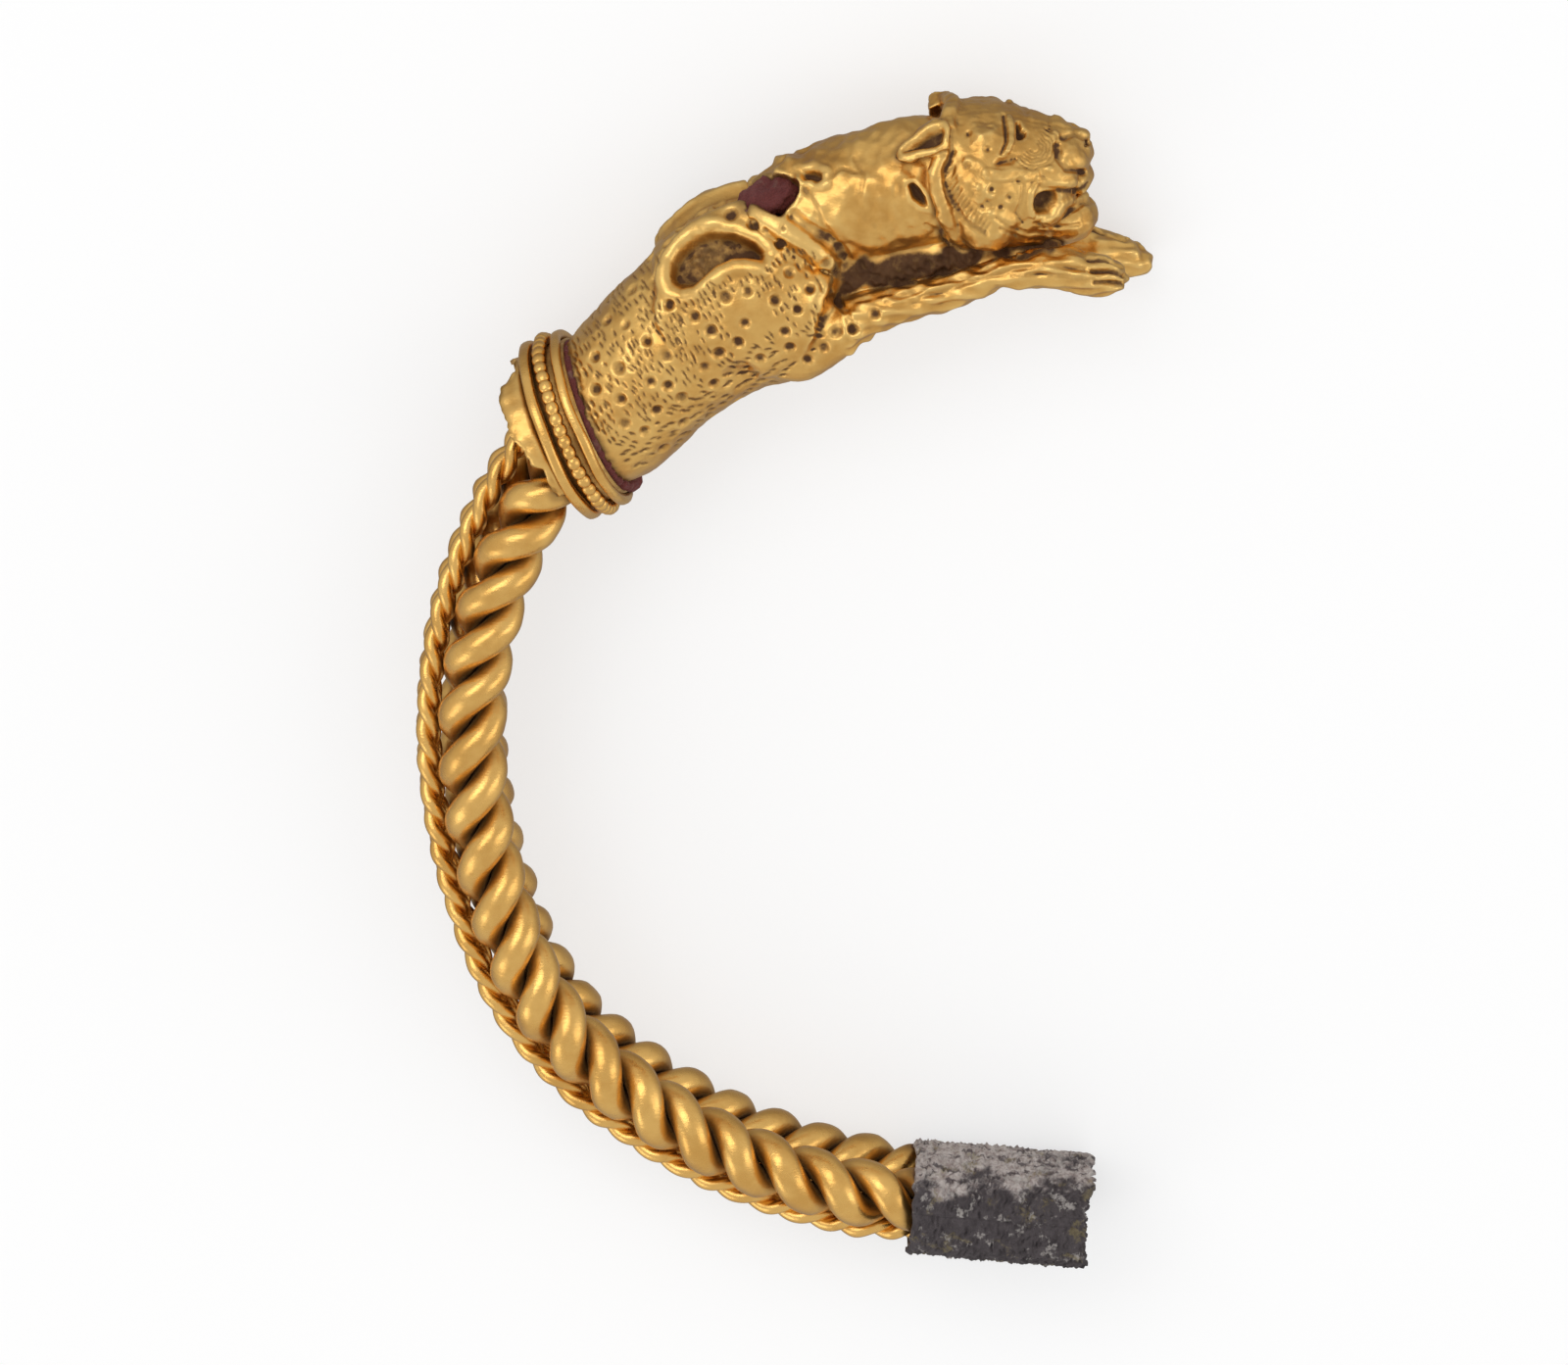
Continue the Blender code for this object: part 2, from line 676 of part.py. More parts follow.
def piece(name, mesh, finish, bracelet):
    """Puts a mesh into the scene in metres, under the bracelet's own empty."""
    mesh.transform(Matrix.Scale(MILLIMETRE, 4))
    mesh.materials.clear()
    mesh.materials.append(finish)
    mesh.shade_smooth()
    mesh.set_sharp_from_angle(angle=math.radians(40))
    made = bpy.data.objects.new(name, mesh)
    bpy.context.scene.collection.objects.link(made)
    made.parent = bracelet
    return made


def weight_and_middle(mesh):
    """The mesh's volume and the middle of that volume."""
    mesh.calc_loop_triangles()
    corners = np.array([[tuple(mesh.vertices[v].co) for v in face.vertices] for face in mesh.loop_triangles])
    volumes = np.einsum("ij,ij->i", corners[:, 0], np.cross(corners[:, 1], corners[:, 2])) / 6.0
    middles = corners.sum(axis=1) / 4.0
    return volumes.sum(), (volumes[:, None] * middles).sum(axis=0)


def resting_turn(pieces):
    """The turn that lays the bracelet on the three points that carry it."""
    total = 0.0
    moment = np.zeros(3)
    cloud = bmesh.new()
    for thing in pieces:
        volume, first_moment = weight_and_middle(thing.data)
        total += volume
        moment += first_moment
        cloud.from_mesh(thing.data)
    middle = Vector(moment / total)
    hull = bmesh.ops.convex_hull(cloud, input=cloud.verts)
    down = Vector((0.0, 0.0, -1.0))
    best = None
    for face in (thing for thing in hull["geom"] if isinstance(thing, bmesh.types.BMFace)):
        face.normal_update()
        outward = face.normal
        if outward.dot(face.calc_center_median() - middle) < 0:
            outward = -outward
        if outward.dot(down) < 0.9:
            continue
        height = outward.dot(face.calc_center_median() - middle)
        foot = middle + outward * height
        corners = [vertex.co for vertex in face.verts]
        sides = [
            (after - corner).cross(foot - corner).dot(outward)
            for corner, after in zip(corners, corners[1:] + corners[:1])
        ]
        if (min(sides) >= 0 or max(sides) <= 0) and (best is None or height < best[0]):
            best = (height, outward.copy())
    cloud.free()
    return best[1].rotation_difference(down).to_matrix().to_4x4()


def lay_down(bracelet, pieces):
    """Turns the bracelet as it lies and puts its origin under the middle of its box."""
    turn = resting_turn(pieces)
    corners = np.array([tuple(turn @ vertex.co) for thing in pieces for vertex in thing.data.vertices])
    low = corners.min(axis=0)
    high = corners.max(axis=0)
    shift = Vector((-(low[0] + high[0]) / 2, -(low[1] + high[1]) / 2, -low[2]))
    bracelet.rotation_mode = "QUATERNION"
    bracelet.rotation_quaternion = turn.to_quaternion()
    bracelet.location = shift


def build():
    """Makes every piece and lays the bracelet down."""
    clear_scene()
    bracelet = bpy.data.objects.new("bracelet", None)
    bpy.context.scene.collection.objects.link(bracelet)
    gold = material("gold", GOLD, 0.3, 1.0)
    wire_gold = material("wire_gold", DEEP_GOLD, 0.28, 1.0)
    silver = material("tarnished_silver", SILVER, 0.5, 0.9)
    red = material("red_filling", RED_FILLING, 0.8, 0.0)

    height = thick_rope_height()
    pieces = [piece("feline_forepart", forepart(), gold, bracelet)]
    pieces.append(piece("red_filling", filling(), red, bracelet))
    for rope, level, hand, leads, phase in (
        ("front", height, 1, (FRONT_LEAD_AT_COLLAR, FRONT_LEAD_AT_SLEEVE), FRONT_PHASE),
        ("back", -height, -1, (BACK_LEAD_AT_COLLAR, BACK_LEAD_AT_SLEEVE), BACK_PHASE),
    ):
        for wire, turn in (("a", 0.0), ("b", 180.0)):
            name = f"{rope}_rope_wire_{wire}"
            mesh = helical_wire(name, level, hand, leads, phase + turn)
            pieces.append(piece(name, mesh, wire_gold, bracelet))
    for name, side, hand in (("thin_rope_front", 1, -1), ("thin_rope_back", -1, 1)):
        pieces.append(piece(name, twisted_pair(name, side, hand), wire_gold, bracelet))
    pieces.append(piece("collar_tube", collar_tube(), gold, bracelet))
    for name, place, thickness, segments, sides, swell in (
        ("collar_front_wire", FRONT_WIRE_PLACE, FRONT_WIRE, ROUND_SEGMENTS, WIRE_SIDES, None),
        ("collar_beaded_wire", BEAD_PLACE, BEAD_SIZE, 2 * BEAD_COUNT, BEAD_SIDES, bead_swell),
        ("collar_back_wire", BACK_WIRE_PLACE, BACK_WIRE, ROUND_SEGMENTS, WIRE_SIDES, None),
    ):
        mesh = collar_wire(name, place, thickness, segments, sides, swell)
        pieces.append(piece(name, mesh, wire_gold, bracelet))
    pieces.append(piece("collar_strip", collar_strip(), gold, bracelet))
    pieces.append(piece("silver_sleeve", sleeve(), silver, bracelet))
    lay_down(bracelet, pieces)


build()
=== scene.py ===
# %% [markdown]
# # Half of an ancient gold bracelet, with a feline's forepart
#
# The bracelet lies on its side. A hollow gold animal is set into a wired collar, and from the collar
# a hoop of twisted gold wires runs to a rolled silver sleeve. Everything here is built round the packed
# model of the same bracelet, so this first step loads it and keeps its size.

import math

import bmesh
import bpy
import numpy as np
from mathutils import Matrix, Vector
from mathutils.bvhtree import BVHTree


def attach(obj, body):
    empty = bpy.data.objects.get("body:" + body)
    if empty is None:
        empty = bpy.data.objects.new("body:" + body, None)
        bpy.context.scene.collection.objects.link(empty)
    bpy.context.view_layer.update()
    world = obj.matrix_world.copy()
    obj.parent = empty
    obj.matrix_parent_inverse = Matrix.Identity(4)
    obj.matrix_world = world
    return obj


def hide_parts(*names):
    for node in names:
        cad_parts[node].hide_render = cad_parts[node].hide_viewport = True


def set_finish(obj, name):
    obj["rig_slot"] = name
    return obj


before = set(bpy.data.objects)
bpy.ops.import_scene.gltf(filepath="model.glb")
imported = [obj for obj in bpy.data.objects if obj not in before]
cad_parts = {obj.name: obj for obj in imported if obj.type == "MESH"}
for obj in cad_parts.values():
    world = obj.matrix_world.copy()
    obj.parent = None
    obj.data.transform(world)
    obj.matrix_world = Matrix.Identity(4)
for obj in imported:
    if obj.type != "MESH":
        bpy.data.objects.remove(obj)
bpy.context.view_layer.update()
print("solids in the packed model:", len(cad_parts))

# %% [markdown]
# The bracelet is easiest to draw in its own flat plane: X to the right, Y towards the animal's back and
# Z across its width, in millimetres. It lies a little askew, on three points that carry it, so one
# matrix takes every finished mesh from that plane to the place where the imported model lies.

# %% The bracelet's own axes
MM = 0.001
REST_AXIS = (0.2769, 0.9614, 0.0)
REST_ANGLE = 1.688
REST_PLACE = (-0.056, -0.013, 5.134)
REST = (
    Matrix.Translation(Vector(REST_PLACE) * MM)
    @ Matrix.Rotation(math.radians(REST_ANGLE), 4, Vector(REST_AXIS))
    @ Matrix.Scale(MM, 4)
)
rng = np.random.default_rng(7)
made = {}
print("one millimetre across is", REST.to_scale()[0], "metres")

# %% [markdown]
# Every piece is a mesh made from arrays of points. Rings of points bridged by four-sided faces give
# wires, rims and tubes. The helper below also puts a finished piece into the scene: it rides on the
# bracelet, stands for its plain solids, and names the finish that it takes.


# %% Meshes from rings of points
def mesh_from(name, points, faces):
    mesh = bpy.data.meshes.new(name)
    mesh.from_pydata(np.asarray(points, float).tolist(), [], faces)
    shape = bmesh.new()
    shape.from_mesh(mesh)
    bmesh.ops.recalc_face_normals(shape, faces=shape.faces)
    shape.to_mesh(mesh)
    shape.free()
    return mesh


def ringed(name, rings, closed=False):
    count = rings.shape[1]
    faces = []
    for ring in range(len(rings) if closed else len(rings) - 1):
        here = ring * count
        there = (ring + 1) % len(rings) * count
        for corner in range(count):
            after = (corner + 1) % count
            faces.append((here + corner, here + after, there + after, there + corner))
    if not closed:
        faces.append(tuple(range(count)))
        faces.append(tuple(range((len(rings) - 1) * count, len(rings) * count)))
    return mesh_from(name, rings.reshape(-1, 3), faces)


def full_turn(count):
    """Angles at equal steps round a circle."""
    return 2 * math.pi * np.arange(count) / count


def circle_at(angle):
    return np.column_stack((np.cos(angle), np.sin(angle)))


def lengths_along(points):
    """How far along a line each of its points lies."""
    steps = np.linalg.norm(np.diff(points, axis=0), axis=1)
    return np.concatenate(([0.0], np.cumsum(steps)))


def add_piece(name, mesh, slot, *nodes):
    mesh.transform(REST)
    mesh.shade_smooth()
    piece = bpy.data.objects.new(name, mesh)
    bpy.context.scene.collection.objects.link(piece)
    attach(piece, "root")
    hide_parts(*nodes)
    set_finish(piece, slot)
    made[name] = piece
    print(name, "has", sum(len(face.vertices) - 2 for face in mesh.polygons), "triangles")
    return piece


# %% [markdown]
# Nothing here is machine-made, so edges wander and thicknesses change. A sum of a few waves with
# seeded phases gives a smooth unevenness along a wire or over a surface, the same on every run.


# %% Unevenness of handwork
def waves(points, pitch, count=24):
    """A smooth field between about -1 and 1 that repeats nowhere, with bumps about one pitch apart."""
    points = np.asarray(points, float)
    if points.ndim == 1:
        points = points[:, None]
    total = np.zeros(len(points))
    for _ in range(count):
        direction = rng.normal(size=points.shape[1])
        direction /= np.linalg.norm(direction)
        stretch = 2 * math.pi / pitch * rng.uniform(0.6, 1.5)
        total += np.sin(points @ direction * stretch + rng.uniform(0, 2 * math.pi))
    return total / math.sqrt(count / 2)


def squared(value, squareness):
    """A cosine or sine made fuller, so that it draws a circle (2) or a rounded square (more)."""
    return np.sign(value) * np.abs(value) ** (2.0 / squareness)


def smooth_step(value, low, high):
    share = np.clip((np.asarray(value, float) - low) / (high - low), 0.0, 1.0)
    return share * share * (3 - 2 * share)


# %% [markdown]
# ## The hoop
#
# The hoop's middle line is an arc that is pushed out a little on the left and drawn in at its end. Two
# thick ropes of two wires each lie one on the other, twisted opposite ways, and two thin cords
# fill the groove on the outside. The ropes thin out where they enter the sleeve. A wire is a tube that
# winds round its rope's axis. Its rings turn as little as possible from one to the next, so that the
# tube doesn't wring.
#
# BULGE says how far the arc is pushed out, at what angle and over how many degrees. DRAWN_IN says how
# far its end is drawn in, and from what angle on.

# %% The hoop's middle line
HOOP_CENTRE = (11.8, -2.6)
HOOP_RADIUS = 30.1
HOOP_ARC = (143.5, 266.0)
BULGE = (0.8, 216.0, 15.0)
DRAWN_IN = (0.6, 232.0)


def hoop_point(angles):
    bulge = BULGE[0] * np.exp(-(((angles - BULGE[1]) / BULGE[2]) ** 2))
    drawn_in = DRAWN_IN[0] * smooth_step(angles, DRAWN_IN[1], HOOP_ARC[1])
    radius = HOOP_RADIUS + bulge - drawn_in
    turn = np.radians(angles)
    across = HOOP_CENTRE[0] + radius * np.cos(turn)
    upward = HOOP_CENTRE[1] + radius * np.sin(turn)
    return np.column_stack((across, upward, np.zeros(len(turn))))


def hoop_line(spacing):
    """Distance, place, travel and outward direction at equal steps along the hoop."""
    angles = np.linspace(*HOOP_ARC, 2400)
    lengths = lengths_along(hoop_point(angles))
    distance = np.linspace(0.0, lengths[-1], round(lengths[-1] / spacing) + 1)
    at = np.interp(distance, lengths, angles)
    travel = hoop_point(at + 0.05) - hoop_point(at - 0.05)
    travel /= np.linalg.norm(travel, axis=1)[:, None]
    outward = np.column_stack((travel[:, 1], -travel[:, 0], np.zeros(len(at))))
    return distance, hoop_point(at), travel, outward


hoop_length = hoop_line(0.5)[0][-1]
FULL_FROM_START = ((0.0, 1.04), (4.0, 1.08))
FULL_FROM_END = ((-5.0, 1.08), (-2.4, 1.0), (0.0, 1.0))


def fullness(distance):
    """How much thicker than drawn the ropes are, by the distance along the hoop."""
    at_end = [(hoop_length + place, share) for place, share in FULL_FROM_END]
    return np.interp(distance, *zip(*FULL_FROM_START, *at_end))


print("the hoop's middle line is", round(hoop_length, 1), "mm long")

# %% A wire along any path
UP = np.array((0.0, 0.0, 1.0))


def tube_rings(path, first, radius, sides):
    """Rings round a path. radius is one number for each step, or one for each step and corner."""
    travel = np.gradient(path, axis=0)
    travel /= np.linalg.norm(travel, axis=1)[:, None]
    radius = np.asarray(radius, float)
    if radius.ndim == 1:
        radius = radius[:, None]
    turn = full_turn(sides)
    rings = []
    for step, along in enumerate(travel):
        first = first - along * (first @ along)
        first /= np.linalg.norm(first)
        second = np.cross(along, first)
        ring = np.cos(turn)[:, None] * first + np.sin(turn)[:, None] * second
        rings.append(path[step] + ring * np.broadcast_to(radius[step], (sides,))[:, None])
    return np.array(rings)


# %% [markdown]
# A drawn and hammered wire isn't a perfect cylinder. Each one swells and thins along its length and is
# a little flattened where it faces out of its rope. The hammered face is made by pulling in whatever
# stands farther from the rope's axis than a worn surface would.

# %% The four thick wires
THICK_WIRE = 1.88
TWIST_RADIUS = 0.97
WIRE_GAP = 0.1
THICK_HEIGHT = TWIST_RADIUS + THICK_WIRE / 2 + WIRE_GAP / 2
WORN_TO = 0.975
STEPS_PER_LEAD = 48
WIRE_SIDES = 26


def thick_wire(name, height, hand, leads, phase):
    distance, middle, travel, outward = hoop_line(leads[1] / STEPS_PER_LEAD)
    start, end = (2 * math.pi / lead for lead in leads)
    rate = start + (end - start) * distance / hoop_length
    angle = math.radians(phase) - hand * (start + rate) / 2 * distance
    angle += 0.05 * waves(distance, 5.0)
    radial = np.cos(angle)[:, None] * outward + np.sin(angle)[:, None] * UP
    full = fullness(distance)[:, None]
    core = middle + UP * height * full
    path = core + radial * TWIST_RADIUS * full
    swell = (1.0 + 0.018 * waves(distance, 4.0) - 0.01) * full[:, 0]
    rings = tube_rings(path, radial[0], THICK_WIRE / 2 * swell, WIRE_SIDES)
    axis = core[:, None, :]
    away = np.linalg.norm(rings - axis, axis=2)
    limit = (TWIST_RADIUS + THICK_WIRE / 2) * WORN_TO
    limit = limit * (1.0 + 0.012 * waves(distance, 1.7))[:, None] * full
    pulled = np.where(away > limit, limit + (away - limit) * 0.35, away)
    rings = axis + (rings - axis) * (pulled / away)[:, :, None]
    return ringed(name, rings)


for rope, side, hand, leads, phase in (
    ("front_rope", 1, 1, (6.85, 6.2), 51.5),
    ("back_rope", -1, -1, (5.8, 5.8), 99.0),
):
    for wire, turn in (("a", 0.0), ("b", 180.0)):
        name = f"{rope}_wire_{wire}"
        mesh = thick_wire(name, side * THICK_HEIGHT, hand, leads, phase + turn)
        add_piece(f"twisted_{name}", mesh, "wire_gold", name)

# %% [markdown]
# The thin cords are two fine wires each. They touch each other and the thick ropes, so their place
# follows from the three thicknesses.

# %% The two thin cords
CORD = 1.4
CORD_LEAD = 3.5
CORD_ASIDE = CORD / 2 + WIRE_GAP / 4
CORD_APART = TWIST_RADIUS + THICK_WIRE / 2 + CORD / 2 + WIRE_GAP / 2
CORD_OUT = math.sqrt(CORD_APART**2 - (THICK_HEIGHT - CORD_ASIDE) ** 2)
FINE_WIRE = 0.78


def thin_cord(name, side, hand):
    distance, middle, travel, outward = hoop_line(CORD_LEAD / 30)
    full = fullness(distance)[:, None]
    axis = middle + (outward * CORD_OUT + UP * side * CORD_ASIDE) * full
    shapes = []
    for turn in (0.0, math.pi):
        angle = turn - hand * 2 * math.pi * distance / CORD_LEAD + 0.08 * waves(distance, 3.0)
        radial = np.cos(angle)[:, None] * outward + np.sin(angle)[:, None] * UP
        path = axis + radial * (CORD - FINE_WIRE) / 2 * full
        swell = FINE_WIRE / 2 * (1.0 + 0.03 * waves(distance, 2.0)) * full[:, 0]
        shapes.append(ringed(name, tube_rings(path, radial[0], swell, 14)))
    return joined(name, shapes)


def joined(name, meshes):
    shape = bmesh.new()
    for mesh in meshes:
        shape.from_mesh(mesh)
    whole = bpy.data.meshes.new(name)
    shape.to_mesh(whole)
    shape.free()
    return whole


add_piece("thin_cord_front", thin_cord("thin_cord_front", 1, -1), "wire_gold", "thin_rope_front")
add_piece("thin_cord_back", thin_cord("thin_cord_back", -1, 1), "wire_gold", "thin_rope_back")

# %% [markdown]
# ## The collar
#
# A short tube holds the animal's body. Round it lie a plain wire, a beaded wire and another plain
# wire, and on the hoop's side a torn strip of sheet hangs on. Each is drawn in the collar's own terms:
# along its axis, out from it, and round it. The near side leans back a little towards the hoop.

# %% Places on the collar
COLLAR_CENTRE = (-11.88, 16.39)
COLLAR_ANGLE = math.radians(24.0)
COLLAR_BORE = 9.2
COLLAR_SHEET = 0.25
COLLAR_FRONT = 1.0
COLLAR_BACK = -1.7
COLLAR_LEAN = 0.05
SEAT = COLLAR_BORE / 2 + COLLAR_SHEET + 0.04


def collar_point(along, radius, angle):
    along, radius, angle = np.broadcast_arrays(along, radius, angle)
    along = along - COLLAR_LEAN * radius * np.sin(angle)
    reach = radius * np.cos(angle)
    x = COLLAR_CENTRE[0] + along * math.cos(COLLAR_ANGLE) - reach * math.sin(COLLAR_ANGLE)
    y = COLLAR_CENTRE[1] + along * math.sin(COLLAR_ANGLE) + reach * math.cos(COLLAR_ANGLE)
    return np.stack((x, y, radius * np.sin(angle)), axis=-1)


def collar_ring(name, place, thickness, segments, sides, squareness=2.0, swell=None, wander=0.03):
    angle = full_turn(segments)
    circle = circle_at(angle)
    half = thickness / 2 * (1.0 + 0.03 * waves(circle, 0.5))
    if swell is not None:
        half = half * swell
    drift = wander * waves(circle, 0.9)
    turn = 2 * math.pi * (np.arange(sides) + 0.5) / sides
    along = place + drift[:, None] + half[:, None] * squared(np.sin(turn), squareness)
    radius = SEAT + thickness / 2 + half[:, None] * squared(np.cos(turn), squareness)
    return ringed(name, collar_point(along, radius, angle[:, None]), closed=True)


print("the wires sit", round(SEAT, 2), "mm from the collar's axis")

# %% Collar tube and plain wires
angle = full_turn(144)
inner, outer = COLLAR_BORE / 2, COLLAR_BORE / 2 + COLLAR_SHEET
along = np.array((COLLAR_BACK, COLLAR_BACK, COLLAR_FRONT, COLLAR_FRONT))
radius = np.array((inner, outer, outer, inner))
rings = collar_point(along[None, :], radius[None, :], angle[:, None])
add_piece("collar_sheet", ringed("collar_sheet", rings, closed=True), "sheet_gold", "collar_tube")

front = collar_ring("front_ring", place=0.63, thickness=0.6, segments=240, sides=16, squareness=2.6)
add_piece("collar_front_ring", front, "wire_gold", "collar_front_wire")
back = collar_ring("back_ring", place=-1.3, thickness=0.68, segments=240, sides=16, squareness=2.8)
add_piece("collar_back_ring", back, "wire_gold", "collar_back_wire")

# %% [markdown]
# Beads were rolled into a wire with a blade, so they aren't separate balls: the wire swells at each
# bead and narrows to a waist before the next. The thickness below is that of the wire at a bead.

# %% The beaded wire
BEAD_COUNT = 48
BEAD_STEPS = 12
BEAD_WAIST, BEAD_SWELL = 0.50, 0.52
BEAD_PLACE, BEAD_THICKNESS = -0.33, 0.84
segments = BEAD_COUNT * BEAD_STEPS
share = (np.arange(segments) % BEAD_STEPS) / BEAD_STEPS * 2 - 1
bead = BEAD_WAIST + BEAD_SWELL * np.sqrt(np.clip(1.0 - (0.93 * share) ** 2, 0.0, 1.0))
beads = collar_ring("beads", BEAD_PLACE, BEAD_THICKNESS, segments, 14, swell=bead, wander=0.02)
add_piece("collar_bead_row", beads, "wire_gold", "collar_beaded_wire")
print("the collar is", round(2 * (SEAT + BEAD_THICKNESS), 2), "mm across its beads")

# %% [markdown]
# Behind the wires a strip of the collar's sheet is left, and its free edge is torn. WIDTH_ROUND gives
# its width by the angle round the collar, in degrees from the animal's back. A drawn edge would look
# cut, so two waves are added, a long one for the tear and a short one for the burr.

# %% The torn strip
STRIP_SPAN = math.radians(118.0)
STRIP_STEPS = 170
STRIP_IN, STRIP_OUT = COLLAR_BORE / 2 + 0.02, COLLAR_BORE / 2 + 0.3
STRIP_GAP = 0.08
STRIP_WIDEST = 1.65
angle = np.linspace(-STRIP_SPAN, STRIP_SPAN, STRIP_STEPS)
WIDTH_ROUND = (
    (-118, 0.6), (-90, 1.0), (-30, 0.9), (-5, 0.35), (12, 0.3), (22, 1.1), (34, 1.55), (60, 1.5),
    (72, 1.1), (88, 1.0), (91, 0.55), (118, 0.5),
)
width = np.interp(np.degrees(angle), *zip(*WIDTH_ROUND))
ragged = 0.05 * waves(angle, 0.5) + 0.018 * waves(angle, 0.12)
front_edge = COLLAR_BACK - STRIP_GAP
back_edge = front_edge - np.clip(width + ragged, 0.2, STRIP_WIDEST)
profile = []
for edge_share in (0.0, 0.25, 0.5, 0.75, 1.0):
    along = back_edge + (front_edge - back_edge) * edge_share
    lifted = STRIP_OUT + 0.05 * waves(np.column_stack((angle * 5, along)), 1.2) * (1 - edge_share)
    profile.append(collar_point(along, lifted, angle))
for edge_share in (1.0, 0.0):
    along = back_edge + (front_edge - back_edge) * edge_share
    profile.append(collar_point(along, STRIP_IN, angle))
strip = ringed("strip", np.stack(profile, axis=1))
add_piece("collar_torn_strip", strip, "sheet_gold", "collar_strip")

# %% [markdown]
# ## The silver sleeve
#
# The sleeve is silver sheet rolled up and flattened over both ropes. Its edge overlaps on the side that
# faces up, its free end is torn, and corrosion has left a crust with pits. It is built as one closed
# profile, outside and inside, carried round a rounded box.

# %% The rolled sleeve
SLEEVE_LENGTH = 10.7
SLEEVE_WIDTH = 6.0
SLEEVE_HEIGHT = 8.7
SLEEVE_WALL = 0.3
SLEEVE_SQUARENESS = 2.6
SLEEVE_ANGLE = math.radians(-5.1)
SLEEVE_OFFSET = 0.57
SLEEVE_OVER_HOOP = 2.2
SEAM_ANGLE = math.radians(97.0)

distance, middle, travel, outward = hoop_line(0.1)
mouth = np.argmin(np.abs(hoop_length - distance - SLEEVE_OVER_HOOP))
sleeve_start = middle[mouth] + outward[mouth] * SLEEVE_OFFSET
forward = np.array((math.cos(SLEEVE_ANGLE), math.sin(SLEEVE_ANGLE), 0.0))
across = np.array((-math.sin(SLEEVE_ANGLE), math.cos(SLEEVE_ANGLE), 0.0))


def sleeve_ring(angle, along, inset):
    width = squared(np.cos(angle), SLEEVE_SQUARENESS) * (SLEEVE_WIDTH / 2 - inset)
    height = squared(np.sin(angle), SLEEVE_SQUARENESS) * (SLEEVE_HEIGHT / 2 - inset)
    core = sleeve_start + forward * along[:, None]
    return core - across * width[:, None] + UP * height[:, None]


AROUND = 280
OUTER_INSET = 0.12
LAP_HEIGHT = 0.16
PIT_DEPTH = 0.12
angle = full_turn(AROUND)
circle = circle_at(angle)
torn = 0.22 * np.abs(waves(circle, 0.35)) + 0.05 * np.abs(waves(circle, 0.08))
torn += 0.3 * smooth_step(np.sin(angle), 0.55, 0.75)
mouth_edge = 0.06 * waves(circle, 0.3)
length = SLEEVE_LENGTH - torn - mouth_edge
rows = []
for share in np.linspace(0.0, 1.0, 96):
    along = mouth_edge + length * share
    places = sleeve_ring(angle, along, np.zeros(AROUND))
    past = np.mod(angle - SEAM_ANGLE, 2 * math.pi)
    lap = LAP_HEIGHT * (1.0 - smooth_step(past, 0.0, 1.3)) + 0.04
    crust = 0.05 * waves(places, 1.6) + 0.035 * waves(places, 0.7, 40)
    pits = smooth_step(waves(places, 0.9, 40), 1.1, 2.2)
    rim = 0.12 * (1.0 - smooth_step(np.minimum(share, 1.0 - share), 0.0, 0.02))
    rows.append(sleeve_ring(angle, along, OUTER_INSET - lap + rim - crust + PIT_DEPTH * pits))
for share in (1.0, 0.66, 0.33, 0.0):
    along = mouth_edge + length * share
    rows.append(sleeve_ring(angle, along, np.full(AROUND, SLEEVE_WALL + 0.1)))
sleeve = ringed("sleeve", np.stack(rows, axis=1), closed=True)
add_piece("silver_rolled_sleeve", sleeve, "tarnished_silver", "silver_sleeve")

# %% [markdown]
# ## The animal
#
# The forepart was hammered up in two shells of thin sheet and chased from outside. The way here is the
# sculptor's: rough masses are pushed together and fused into one skin by a voxel remesh, and then tools
# press into the skin. The tools are placed in the side view that a goldsmith would draw, tilted
# so that it shows the flank and a little of the back, and both flanks get the same work. Each row of a
# mass below is a station of its spine: x, y and z, then half its height and half its width.

# %% Rough masses
VIEW_TILT = 21.0
TRUNK = (
    (-9.8, 17.6, 0, 4.5, 4.5),
    (-7.15, 20.55, 0, 4.7, 4.8),
    (-4.15, 23.15, 0, 5.3, 4.9),
    (-1.65, 24.65, 0, 5.85, 4.8),
    (0.7, 26.1, 0, 5.15, 4.3),
    (2.6, 27.1, 0, 3.2, 2.8),
)
NECK = (
    (-0.3, 28.0, 0, 3.75, 3.3),
    (1.6, 29.15, 0, 3.85, 3.6),
    (4.5, 30.35, 0, 3.9, 3.8),
    (6.4, 30.95, 0, 3.95, 3.8),
    (8.9, 31.5, 0, 3.8, 3.7),
    (11.5, 31.8, 0, 3.4, 3.4),
)
CHEST_WEB = (
    (1.5, 25.8, 0, 2.4, 3.1),
    (5.0, 26.5, 0, 2.3, 3.0),
    (9.0, 27.2, 0, 2.0, 2.8),
    (13.0, 27.8, 0, 1.5, 2.5),
    (16.0, 28.0, 0, 1.0, 2.2),
)
HEAD = (
    (9.3, 32.1, 0, 4.1, 3.9),
    (10.6, 32.0, 0, 4.4, 4.45),
    (12.2, 31.8, 0, 4.4, 4.6),
    (14.0, 31.5, 0, 4.1, 4.1),
    (15.6, 31.4, 0, 3.85, 3.4),
    (16.5, 31.25, 0, 3.4, 2.6),
)
